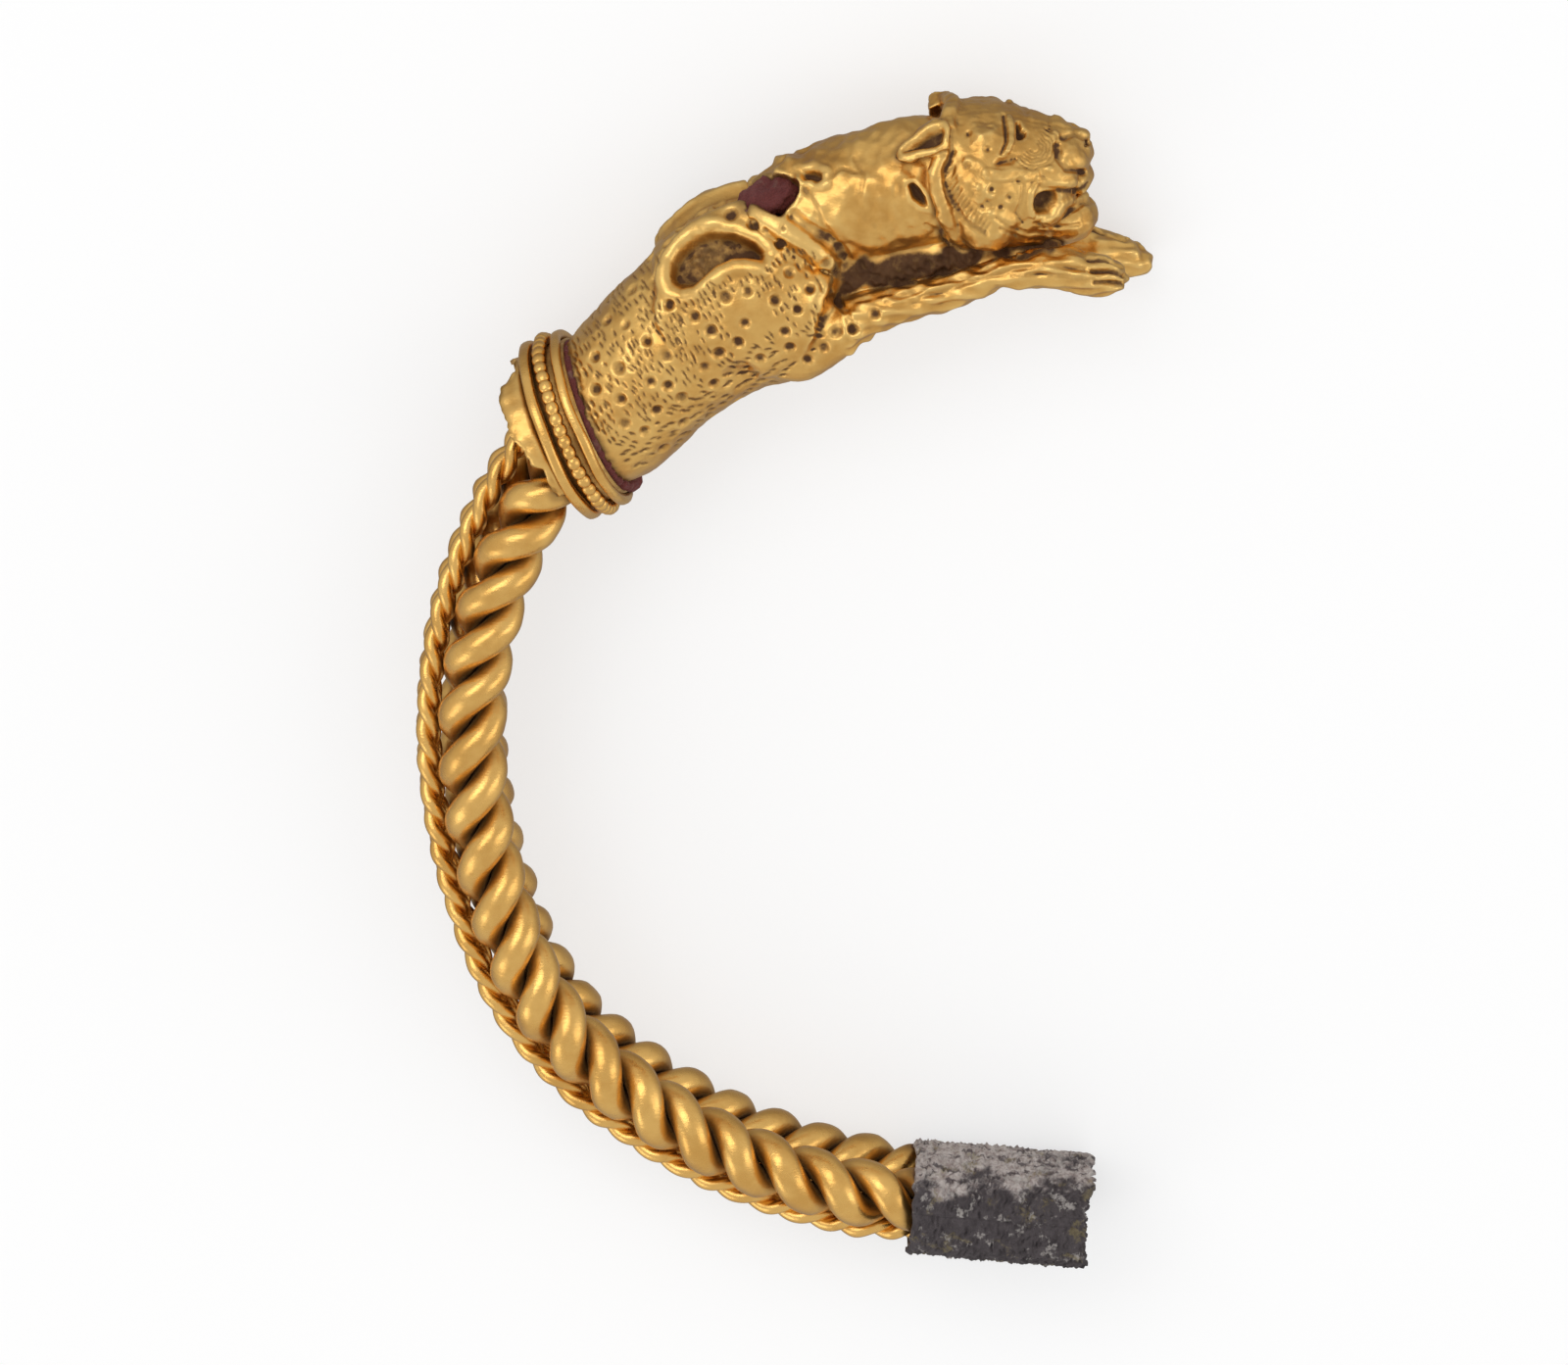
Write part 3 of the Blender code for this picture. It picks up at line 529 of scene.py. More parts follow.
NEAR_LEG = (
    (-0.6, 22.7, 2.8, 2.3, 1.5),
    (0.9, 22.6, 3.1, 2.5, 1.6),
    (2.6, 23.1, 3.3, 1.75, 1.6),
    (4.4, 24.2, 3.45, 1.4, 1.45),
    (6.2, 24.85, 3.5, 1.15, 1.25),
    (7.9, 25.3, 3.45, 1.05, 1.1),
    (9.8, 25.8, 3.4, 1.03, 1.05),
    (11.7, 26.55, 3.4, 0.9, 1.0),
    (12.6, 26.9, 3.4, 0.88, 1.0),
    (14.6, 27.1, 3.4, 1.15, 1.15),
    (16.0, 27.3, 3.4, 1.22, 1.3),
    (17.5, 26.95, 3.4, 1.25, 1.45),
    (18.9, 26.75, 3.4, 1.1, 1.4),
    (19.8, 26.6, 3.4, 0.6, 1.0),
)
FAR_PAW_REACH = 1.5
FAR_PAW_DROP = 1.55
FAR_DROP_FROM = 3.6


def spline(stations, count):
    """The stations joined by smooth curves through every one of them."""
    table = np.array(stations, float)
    padded = np.vstack((2 * table[0] - table[1], table, 2 * table[-1] - table[-2]))
    rows = []
    for place in np.linspace(0, len(table) - 1, count):
        index = min(int(place), len(table) - 2)
        t = place - index
        before, start, end, after = padded[index : index + 4]
        bend = 2 * before - 5 * start + 4 * end - after
        swing = 3 * start - before - 3 * end + after
        rows.append(start + 0.5 * ((end - before) * t + bend * t**2 + swing * t**3))
    return np.array(rows)


def loft(stations, dome_back=0.45, dome_front=0.45, sides=48):
    """Oval rings along a spine, with domed ends."""
    table = spline(stations, 4 * len(stations))
    places = table[:, :3]
    travel = np.gradient(places, axis=0)
    travel /= np.linalg.norm(travel, axis=1)[:, None]
    turn = full_turn(sides)
    rings = []
    for index, (_, _, _, high, wide) in enumerate(table):
        upward = np.array((-travel[index][1], travel[index][0], 0.0))
        upward /= np.linalg.norm(upward)
        sideways = np.cross(travel[index], upward)
        ends = [(0.0, 1.0)]
        if index == 0:
            ends = [(-dome_back, 0.4), (-0.62 * dome_back, 0.8), (0.0, 1.0)]
        if index == len(table) - 1:
            ends = [(0.0, 1.0), (0.62 * dome_front, 0.8), (dome_front, 0.4)]
        for push, size in ends:
            centre = places[index] + travel[index] * push * min(high, wide)
            ring = np.cos(turn)[:, None] * upward * high * size
            rings.append(centre + ring + np.sin(turn)[:, None] * sideways * wide * size)
    return ringed("loft", np.array(rings))


def ball(place, size, turn=0.0):
    shape = bmesh.new()
    bmesh.ops.create_icosphere(shape, subdivisions=4, radius=1.0)
    matrix = Matrix.Translation(place) @ Matrix.Rotation(math.radians(turn), 4, "Z")
    bmesh.ops.transform(shape, matrix=matrix @ Matrix.Diagonal((*size, 1.0)), verts=shape.verts)
    mesh = bpy.data.meshes.new("ball")
    shape.to_mesh(mesh)
    shape.free()
    return mesh


def far_leg():
    stations = []
    for x, y, z, high, wide in NEAR_LEG:
        share = max(0.0, (x - FAR_DROP_FROM) / (NEAR_LEG[-1][0] - FAR_DROP_FROM))
        stations.append((x + FAR_PAW_REACH * share, y - FAR_PAW_DROP * share, -z, high, wide))
    return stations


def plug():
    """The rear end of the body, inside the collar."""
    radius = COLLAR_BORE / 2 - 0.25
    return [(*collar_point(along, 0.0, 0.0), radius, radius) for along in (0.55, 1.0, 1.25)]


print("the trunk is", 2 * max(row[3] for row in TRUNK), "mm deep at its fullest")

# %% [markdown]
# Two shapes on the head aren't balls or lofts. The ruff is a rolled band round the back of the head,
# so it is a tube bent round the neck: RUFF_SLANT gives how far forward it lies, by the angle from the
# top of the head. The ear is a leaf of sheet that points back along the neck, drawn as an outline in
# the side view and laid at a slant against the head. EAR_SLANT holds the leaf's depth at one point,
# that point, and how the depth changes along the view and up it.

# %% Ruff and ears as masses
RUFF_CENTRE = (32.0, 0.0)
RUFF_HIGH, RUFF_WIDE = 4.2, 4.15
RUFF_SLANT = (
    (0, 9.9), (20, 9.65), (45, 9.5), (60, 9.15), (70, 8.85), (80, 8.9), (90, 9.15), (110, 9.5),
    (130, 10.0), (150, 10.9), (165, 11.9), (180, 12.3),
)
RUFF_THICK = 0.52
EAR_RIM = (
    (6.51, 30.87), (6.93, 31.50), (7.88, 32.35), (8.84, 33.01), (9.42, 32.89), (9.72, 32.35),
    (9.72, 31.09), (9.26, 31.05), (8.19, 30.64), (7.29, 30.46), (6.66, 30.51),
)
FAR_EAR_RIM = (
    (8.46, 31.09), (8.46, 32.40), (8.91, 32.62), (9.42, 32.53), (9.72, 32.17), (9.72, 30.91),
)
EAR_SLANT = (2.1, 9.0, 32.9, 0.314, -0.827)


def ruff():
    degrees = np.arange(0, 360, 4.0)
    folded = np.minimum(degrees, 360 - degrees)
    x = np.interp(folded, *zip(*RUFF_SLANT))
    turn = np.radians(degrees)
    path = np.column_stack((x, RUFF_CENTRE[0] + RUFF_HIGH * np.cos(turn), RUFF_WIDE * np.sin(turn)))
    closed = np.vstack((path, path[:2]))
    return ringed("ruff", tube_rings(closed, UP, np.full(len(closed), RUFF_THICK), 16))


def ear_leaf(side):
    tilt = math.radians(VIEW_TILT)
    start, x_start, height_start, by_x, by_height = EAR_SLANT
    points = []
    rim = EAR_RIM if side > 0 else FAR_EAR_RIM
    for lift in (-0.7, 0.42):
        for x, height in rim:
            z = start + by_x * (x - x_start) + by_height * (height - height_start) + lift
            points.append((x, (height + z * math.sin(tilt)) / math.cos(tilt), side * z))
    count = len(rim)
    faces = [tuple(range(count)), tuple(range(count, 2 * count))]
    for corner in range(count):
        after = (corner + 1) % count
        faces.append((corner, after, after + count, corner + count))
    return mesh_from("ear", points, faces)


print("the ruff is", 2 * RUFF_WIDE, "mm wide")


# %% [markdown]
# A voxel remesh takes all masses that overlap and gives one even skin round them, as if they were
# pressed together in clay. It is fine enough here for a punch mark of half a millimetre. Booleans
# would keep the seams between the masses, and a subdivided cage would be slow to shape.

# %% Fusing the masses
def modified(mesh, *modifiers):
    """A new mesh, made by modifiers that are each given as a kind and its settings."""
    carrier = bpy.data.objects.new("carrier", mesh)
    bpy.context.scene.collection.objects.link(carrier)
    for kind, settings in modifiers:
        modifier = carrier.modifiers.new(kind, kind)
        for setting, value in settings.items():
            setattr(modifier, setting, value)
    graph = bpy.context.evaluated_depsgraph_get()
    result = bpy.data.meshes.new_from_object(carrier.evaluated_get(graph))
    bpy.data.objects.remove(carrier, do_unlink=True)
    return result


def fused(name, masses, grain, smoothing):
    remesh = {"mode": "VOXEL", "voxel_size": grain}
    smooth = {"factor": 0.5, "iterations": smoothing}
    return modified(joined(name, masses), ("REMESH", remesh), ("SMOOTH", smooth))


body_masses = [
    loft([*plug(), *TRUNK], dome_back=0.02),
    loft(NECK, dome_back=0.1),
    loft(CHEST_WEB),
    loft(NEAR_LEG),
    loft(far_leg()),
]
head_masses = [
    loft(HEAD, dome_back=0.1, dome_front=0.22),
    ball((16.4, 33.35, 0.0), (1.7, 1.5, 2.5)),
    ball((16.4, 29.3, 0.0), (1.95, 1.6, 2.3)),
    ball((17.0, 34.0, 0.0), (0.95, 0.75, 1.15)),
    ball((11.7, 33.6, 2.4), (1.5, 1.0, 1.1)),
    ball((17.25, 31.9, 0), (0.85, 1.0, 1.9)),
    ruff(),
]
for side in (1, -1):
    body_masses.append(ball((-1.6, 24.15 + 0.25 * side, side * 3.2), (4.9, 4.0, 2.1), -12.0))
    head_masses.append(ball((11.9, 30.6, side * 2.9), (2.1, 2.4, 1.9)))
    head_masses.append(ball((15.5, 32.6, side * 1.9), (1.7, 1.5, 1.5)))
    head_masses.append(ball((16.95, 33.4, side * 1.3), (0.85, 0.85, 0.85)))
    head_masses.append(ear_leaf(side))
body = fused("feline_body", body_masses, grain=0.09, smoothing=8)
head = fused("feline_head", head_masses, grain=0.08, smoothing=5)
print("skin points, body and head:", len(body.vertices), len(head.vertices))

# %% [markdown]
# The tools. Each reads how far every point of the skin is from a line or an outline of the side view,
# and says how far the point is pressed in or raised. Points that face away from that view aren't
# touched, because a line drawn on the view goes through to them. All measures are in millimetres, and
# a mark's darkening share, from 0 to 1, stands for dirt and painted shade together: painted shade above
# all in deep holes, pits, the gap under the neck and the foot of ledges.


# %% The tools
def smoothed(mesh, points, rounds, share=0.6):
    """The points, each moved part of the way to the middle of its neighbours, some times over."""
    count = len(mesh.vertices)
    edges = np.empty(len(mesh.edges) * 2, int)
    mesh.edges.foreach_get("vertices", edges)
    a, b = edges.reshape(-1, 2).T
    degree = np.bincount(np.concatenate((a, b)), minlength=count)[:, None]
    for _ in range(rounds):
        sums = [
            np.bincount(a, points[b, axis], count) + np.bincount(b, points[a, axis], count)
            for axis in range(3)
        ]
        total = np.stack(sums, axis=1)
        points = points + share * (total / degree - points)
    return points


def points_of(mesh):
    count = len(mesh.vertices)
    points, normals = np.empty(count * 3), np.empty(count * 3)
    mesh.vertices.foreach_get("co", points)
    mesh.vertex_normals.foreach_get("vector", normals)
    return points.reshape(-1, 3), normals.reshape(-1, 3)


def gap_to(line, places):
    """Distance from each place to a line of straight stretches."""
    nearest = np.full(len(places), np.inf)
    for start, end in zip(line[:-1], line[1:]):
        start = np.array(start)
        run = np.array(end) - start
        share = np.clip(((places - start) @ run) / (run @ run), 0.0, 1.0)
        nearest = np.minimum(nearest, np.linalg.norm(places - start - share[:, None] * run, axis=1))
    return nearest


class Skin:
    """A skin's points, and what the tools have done to them."""

    def __init__(self, mesh):
        self.mesh = mesh
        self.soot_and_shade = np.zeros(len(mesh.vertices))
        self.read()

    def read(self):
        self.points, self.normals = points_of(self.mesh)
        tilt = math.radians(VIEW_TILT)
        side = np.sign(self.points[:, 2])
        height = self.points[:, 1] * math.cos(tilt) - np.abs(self.points[:, 2]) * math.sin(tilt)
        self.view = np.column_stack((self.points[:, 0], height))
        facing = self.normals[:, 1] * math.sin(tilt) + side * self.normals[:, 2] * math.cos(tilt)
        self.facing = smooth_step(facing, 0.02, 0.3)
        self.lift = np.zeros(len(self.points))

    def settle(self, rounds=0):
        """Moves the points along their normals by what the tools have asked, then evens them out."""
        moved = self.points + self.normals * self.lift[:, None]
        if rounds:
            moved = smoothed(self.mesh, moved, rounds)
        self.mesh.vertices.foreach_set("co", moved.ravel())
        self.mesh.update()
        self.read()

    def inside(self, outline):
        """Distance to a closed outline, positive inside it and negative outside."""
        closed = [*outline, outline[0]]
        away = gap_to(closed, self.view)
        within = np.zeros(len(self.view), bool)
        x, y = self.view[:, 0], self.view[:, 1]
        for (x0, y0), (x1, y1) in zip(closed[:-1], closed[1:]):
            if y0 == y1:
                continue
            crosses = (y0 > y) != (y1 > y)
            within ^= crosses & (x < (x1 - x0) * (y - y0) / (y1 - y0) + x0)
        return np.where(within, away, -away)

    # Darkens points by a share, for dirt and painted shade together.
    def add_dirt_and_shade(self, share):
        self.soot_and_shade = np.maximum(self.soot_and_shade, share * self.facing)

    def groove(self, line, width, depth, soot_and_shade=0.0):
        away = gap_to(line, self.view)
        shape = np.clip(1.0 - (away / (width / 2)) ** 2, 0.0, 1.0)
        shape = shape * (2.0 - shape) * self.facing
        self.lift -= depth * shape
        self.add_dirt_and_shade(soot_and_shade * shape)

    def ridge(self, line, width, height):
        self.groove(line, width, -height)

    def plateau(self, outline, edge_points, reach, height, slope, sink=0.35, soot_and_shade=0.0):
        """Raises the inside of an outline along its first points, sinks the outside a little, and
        paints a shadow at the foot outside it.
        """
        away = gap_to(outline[:edge_points], self.view)
        side = np.sign(self.inside(outline))
        over = smooth_step(0.35 + side * away / slope, 0.0, 1.0)
        fade = smooth_step(1.0 - away / reach, 0.0, 1.0)
        self.lift += height * fade * (over - sink * (1.0 - over)) * self.facing
        # The foot outside the ledge is darkened as a painted shadow under it.
        foot = smooth_step(1.0 - away / slope, 0.0, 1.0) * (side < 0)
        self.add_dirt_and_shade(soot_and_shade * foot)

    def bowl(self, outline, depth, edge, rim=0.0, rim_width=0.3, soot_and_shade=0.0):
        """A hollow with steep sides and a raised rim round it, its inside darkened for dirt and painted
        shade.
        """
        within = self.inside(outline)
        self.lift -= depth * smooth_step(within, 0.0, edge) * self.facing
        if rim:
            bead = np.clip(1.0 - ((within + rim_width * 0.5) / (rim_width * 0.6)) ** 2, 0.0, 1.0)
            self.lift += rim * bead * self.facing
        self.add_dirt_and_shade(soot_and_shade * smooth_step(within, 0.0, edge))

    def dimple(self, place, radius, depth, rim=0.03, soot_and_shade=0.5):
        """A round punch mark, square to the skin, on each flank."""
        for side in (1, -1):
            there = np.sum((self.view - np.array(place)) ** 2, axis=1)
            seen = (np.sign(self.points[:, 2]) == side) & (self.facing > 0.2)
            nearest = np.argmin(there + np.where(seen, 0.0, 1e6))
            self.punch(self.points[nearest], radius, depth, rim, soot_and_shade)

    def punch(self, centre, radius, depth, rim=0.03, soot_and_shade=0.5):
        close = np.flatnonzero(np.all(np.abs(self.points - centre) < radius * 2, axis=1))
        away = np.linalg.norm(self.points[close] - centre, axis=1) / radius
        hollow = smooth_step(1.0 - away, 0.0, 0.75)
        edge = np.clip(1.0 - ((away - 1.15) / 0.4) ** 2, 0.0, 1.0)
        self.lift[close] += depth * (rim * edge - hollow)
        self.soot_and_shade[close] = np.maximum(self.soot_and_shade[close], soot_and_shade * smooth_step(hollow, 0.0, 0.7))

    def stroke(self, place, angle, length, width, depth, soot_and_shade=0.6):
        """A short cut of a tracer, drawn in the side view."""
        x, y = self.view[:, 0] - place[0], self.view[:, 1] - place[1]
        close = np.flatnonzero((np.abs(x) < length) & (np.abs(y) < length) & (self.facing > 0.05))
        x, y = x[close], y[close]
        along = x * math.cos(angle) + y * math.sin(angle)
        aside = -x * math.sin(angle) + y * math.cos(angle)
        shape = np.clip(1.0 - (along / (length / 2)) ** 2 - (aside / (width / 2)) ** 2, 0.0, 1.0)
        shape *= self.facing[close]
        self.lift[close] -= depth * shape
        self.soot_and_shade[close] = np.maximum(self.soot_and_shade[close], soot_and_shade * smooth_step(shape, 0.1, 0.7))


skin = Skin(body)
print("body skin from", skin.points.min(0).round(1), "to", skin.points.max(0).round(1))

# %% [markdown]
# Large forms of the body first: the shoulder blade that stands over the neck like a thick leaf, the
# crescent hollow in it with its rolled rim, the upper arm, and the torn edge of the neck's sheet.

# %% Large forms of the body
SHOULDER = (
    (-7.65, 21.55), (-7.56, 22.99), (-7.38, 24.07), (-7.02, 24.97), (-6.25, 25.96), (-5.13, 27.00),
    (-3.60, 27.80), (-2.46, 28.14), (-1.53, 27.86), (-0.51, 27.34), (1.21, 26.31), (2.36, 25.62),
    (3.01, 24.88), (3.06, 24.01), (2.82, 23.27), (2.36, 22.36), (2.13, 21.38), (1.98, 20.56),
    (-0.99, 14.89), (-5.94, 17.59),
)
SHOULDER_EDGE = (
    (-4.41, 27.40), (-3.42, 27.77), (-2.43, 27.90), (-1.08, 27.31), (0.40, 26.50), (1.71, 25.56),
    (2.61, 24.79), (2.70, 24.16), (2.43, 23.18), (2.07, 22.27),
)
BELLY_PIT = (
    (-4.05, 18.13), (-3.15, 18.77), (-2.25, 19.12), (-1.53, 18.59), (-1.26, 17.77), (-1.71, 16.96),
    (-2.97, 16.70),
)
CRESCENT = (
    (-6.71, 23.71), (-6.71, 24.70), (-6.25, 25.52), (-5.33, 26.20), (-4.18, 26.39), (-2.81, 26.25),
    (-1.66, 25.74), (-1.08, 25.06), (-1.26, 24.59), (-2.25, 24.76), (-3.03, 24.76), (-3.84, 24.35),
    (-4.64, 23.67), (-5.33, 23.09), (-6.03, 23.01), (-6.48, 23.21),
)
skin.plateau(SHOULDER, edge_points=18, reach=2.4, height=0.6, slope=0.8, sink=0.42, soot_and_shade=0.1)
skin.bowl(BELLY_PIT, depth=0.4, edge=0.9)
skin.settle(2)
skin.ridge(SHOULDER_EDGE, 1.7, 0.2)
skin.settle(2)
skin.bowl(CRESCENT, depth=0.9, edge=0.5, rim=0.28, rim_width=0.9, soot_and_shade=0.6)
skin.lift += 0.07 * waves(skin.points, 0.8, 40) * smooth_step(skin.inside(CRESCENT), 0.1, 0.5)
skin.settle(2)

TEAR = (
    (-2.88, 29.38), (-2.43, 29.11), (-1.71, 29.20), (-1.08, 29.47), (-0.36, 29.65), (0.36, 29.47),
    (0.77, 29.20), (0.81, 28.66), (0.36, 27.86), (-0.18, 27.22), (-0.63, 27.40), (-1.35, 27.81),
    (-2.07, 28.30), (-2.65, 28.84),
)
CURL = ((0.90, 29.92), (1.71, 30.15), (2.43, 29.83), (2.38, 29.29), (1.80, 29.11), (1.17, 29.38))
NECK_SHEET = (
    (-0.18, 31.63), (-0.18, 31.18), (0.09, 30.55), (-0.45, 30.11), (-0.63, 29.56), (0.81, 29.65),
    (1.17, 28.39), (1.71, 27.49), (2.61, 26.41), (3.33, 25.61), (5.31, 26.59), (5.31, 32.89),
)
skin.plateau(NECK_SHEET, edge_points=5, reach=1.2, height=0.3, slope=0.35, sink=0.22, soot_and_shade=0.15)
# The tear and the curl are darkened inside: a painted shade in the openings.
skin.bowl(TEAR, depth=1.3, edge=0.3, rim=0.1, rim_width=0.35, soot_and_shade=1.0)
skin.bowl(CURL, depth=0.5, edge=0.35, rim=0.12, rim_width=0.4, soot_and_shade=0.8)
skin.settle(1)
print("share of the skin darkened so far:", round(float((skin.soot_and_shade > 0.3).mean()), 4))

# %% [markdown]
# The coat: round punch marks for the spots and short cuts for the hair between them. The marks that the
# flank shows are placed one by one. Round the belly and the back, more of the same are scattered
# with an even spacing.

# %% Spots
SPOTS = (
    (2.48, 24.47), (0.30, 23.96), (1.50, 23.04), (-2.07, 22.87), (-3.44, 22.52), (-0.51, 22.35),
    (0.76, 21.77), (-6.71, 22.06), (-5.22, 21.38), (-2.29, 21.02), (-4.30, 20.56), (0.06, 20.56),
    (-2.70, 19.82), (-9.30, 20.97), (-8.03, 20.00), (-3.78, 19.25), (0.36, 19.54), (1.44, 18.86),
    (-1.37, 18.90), (-6.88, 19.07), (-4.64, 18.39), (-9.64, 18.39), (-11.13, 19.07), (-7.80, 17.59),
    (-6.77, 17.35), (-4.07, 17.47), (-5.97, 16.67), (-11.07, 17.13), (-9.52, 16.55), (-7.40, 15.86),
    (-9.30, 15.16), (-8.19, 14.71), (-3.10, 27.40), (-1.77, 26.83), (-0.16, 25.68), (3.06, 20.46),
    (-4.86, 27.68), (-7.63, 23.67), (-6.84, 25.73), (-8.91, 22.99), (-10.35, 21.20), (-8.01, 25.06),
    (-6.39, 27.13), (-5.85, 15.25), (-2.43, 16.25), (-7.02, 13.72), (5.31, 21.55), (4.05, 20.65),
    (2.34, 19.57), (-3.96, 28.48),
)
SMALL_SPOTS = ((-1.03, 26.42), (-0.05, 26.54), (-2.64, 25.52))
SPOT_RADIUS, SPOT_DEPTH = 0.47, 0.24
SMALL_RADIUS, SMALL_DEPTH = 0.24, 0.14
SPOT_SPACING = 1.7
for place in SPOTS:
    skin.dimple(place, SPOT_RADIUS * rng.uniform(0.85, 1.15), SPOT_DEPTH * rng.uniform(0.75, 1.15))
for place in SMALL_SPOTS:
    skin.dimple(place, SMALL_RADIUS, SMALL_DEPTH)

# Out of that view, but still on the trunk: behind the legs, below the neck and clear of the collar.
hidden = (skin.facing < 0.15) & (skin.points[:, 0] < 2.5) & (skin.points[:, 1] < 27.5)
hidden &= skin.points[:, 0] * 0.5 + skin.points[:, 1] > 13.5
taken = []
for index in rng.permutation(np.flatnonzero(hidden))[:1200]:
    place = skin.points[index]
    if all(np.linalg.norm(place - other) > SPOT_SPACING for other in taken):
        taken.append(place)
        skin.punch(place, SPOT_RADIUS * rng.uniform(0.8, 1.1), SPOT_DEPTH * rng.uniform(0.7, 1.1))
print(len(SPOTS), "spots on each flank and", len(taken), "out of that view")

# %% [markdown]
# The hair is cut in rows along the body. It stands steep on the flank, leans over towards the belly,
# and leaves a smooth field in the middle of the shoulder.

# %% Hair between the spots
COAT = (
    (-12.51, 20.29), (-9.99, 23.71), (-7.56, 26.41), (-7.02, 22.99), (-5.94, 22.45), (-4.05, 23.54),
    (-1.89, 24.07), (-0.81, 24.34), (-0.63, 25.43), (1.89, 25.43), (2.61, 24.79), (2.25, 22.09),
    (2.43, 19.57), (3.96, 19.84), (-0.09, 17.59), (-5.94, 13.54), (-9.09, 12.20), (-12.24, 16.25),
)
SMOOTH_FIELD = ((-2.07, 21.20), 1.5)
BELLY = ((-9.09, 12.64), (-5.49, 15.25), (-1.44, 18.31), (1.71, 19.21))
BELLY_REACH = 2.2
ROW_GAP, HAIR_GAP = 0.56, 0.33
ROWS_REACH, HAIRS_REACH = 12.0, 14.0
HAIR_LENGTH = (0.45, 0.85)
HAIR_WIDTH, HAIR_DEPTH = 0.22, 0.12
ROW_ANGLE = math.radians(42.0)
ROW_CENTRE = np.array((-4.59, 20.29))
FLANK_ANGLE, BELLY_TURN = -58.0, 78.0
spots = np.array(SPOTS)
seen = np.flatnonzero((skin.facing > 0.1) & (skin.points[:, 2] > 0))
coat = skin.inside(COAT)
strokes = 0
row_way = np.array((math.cos(ROW_ANGLE), math.sin(ROW_ANGLE)))
row_step = np.array((-row_way[1], row_way[0]))
for row in np.arange(-ROWS_REACH, ROWS_REACH, ROW_GAP):
    shift = rng.uniform(0, HAIR_GAP)
    for along in np.arange(-HAIRS_REACH, HAIRS_REACH, HAIR_GAP):
        aside = row_step * (row + rng.normal() * 0.09)
        place = ROW_CENTRE + aside + row_way * (along + shift + rng.normal() * 0.06)
        nearest = seen[np.argmin(np.sum((skin.view[seen] - place) ** 2, axis=1))]
        if coat[nearest] < 0.1 or np.linalg.norm(skin.view[nearest] - place) > 0.1:
            continue
        if np.min(np.linalg.norm(spots - place, axis=1)) < SPOT_RADIUS * 1.25 or rng.uniform() < 0.12:
            continue
        if np.linalg.norm(np.array(SMOOTH_FIELD[0]) - place) < SMOOTH_FIELD[1]:
            continue
        lean = smooth_step(BELLY_REACH - gap_to(BELLY, place[None])[0], 0.0, 1.8)
        angle = math.radians(FLANK_ANGLE + BELLY_TURN * lean + rng.normal() * 8.0)
        length = rng.uniform(*HAIR_LENGTH)
        skin.stroke(place, angle, length, HAIR_WIDTH, HAIR_DEPTH * rng.uniform(0.6, 1.2))
        strokes += 1
skin.settle()
print(strokes, "strokes of hair")

# %% [markdown]
# The neck is thinner sheet with dents and wrinkles. The legs have long tendons, the paws part into
# toes, and the narrow gap between legs and neck is painted dark: lumps of earth, and a painted shadow
# where the gap lies in shade.

# %% Neck, legs and paws
NECK_AREA = ((-0.54, 31.99), (9.81, 34.70), (9.81, 24.79), (3.51, 23.89), (-0.99, 27.49))
LEG_AREA = ((3.06, 22.27), (8.01, 24.34), (14.31, 25.70), (21.96, 27.04), (21.96, 22.09), (3.51, 18.50))
on_neck = smooth_step(skin.inside(NECK_AREA), 0.0, 1.0)
skin.lift += on_neck * (0.075 * waves(skin.points, 3.2) + 0.03 * waves(skin.points, 1.1, 40))
on_leg = smooth_step(skin.inside(LEG_AREA), 0.0, 0.5)
skin.lift += on_leg * 0.065 * waves(skin.points * np.array((0.45, 1.0, 1.0)), 0.8, 40)
skin.lift += 0.02 * waves(skin.points, 2.5) + 0.006 * waves(skin.points, 0.6, 40)
for line, width, depth in (
    (((1.17, 28.84), (1.80, 27.95), (2.25, 26.95), (2.97, 25.96)), 0.4, 0.07),
    (((0.63, 27.31), (1.53, 26.59), (2.61, 25.79), (3.42, 25.06)), 0.9, 0.12),
    (((2.61, 29.47), (3.42, 30.11), (4.14, 29.83)), 0.35, 0.07),
    (((4.05, 30.73), (4.68, 29.65), (4.50, 28.48)), 0.3, 0.06),
    (((8.28, 26.77), (9.09, 26.32), (9.63, 25.61)), 0.3, 0.09),
    (((3.15, 22.27), (3.69, 21.55), (3.96, 20.56)), 0.5, 0.14),
):
    skin.groove(line, width, depth, soot_and_shade=0.18)
for line in (
    ((6.03, 22.27), (8.46, 23.18), (10.71, 23.80), (12.33, 24.25)),
    ((8.01, 22.54), (10.26, 23.27), (12.06, 23.80), (13.41, 24.16), (15.66, 24.34), (17.55, 24.16)),
    ((12.96, 24.79), (14.76, 25.06), (16.56, 25.15), (18.09, 24.88)),
    ((13.41, 23.80), (15.21, 23.89), (16.83, 23.71), (18.09, 23.54)),
):
    skin.groove(line, 0.4, 0.09, soot_and_shade=0.3)
    skin.ridge([(x, y + 0.26) for x, y in line], 0.42, 0.035)
NECK_HOLE = (
    (7.20, 29.11), (7.56, 29.29), (7.92, 28.93), (8.28, 28.39), (8.46, 27.77), (8.01, 27.86),
    (7.47, 28.30),
)
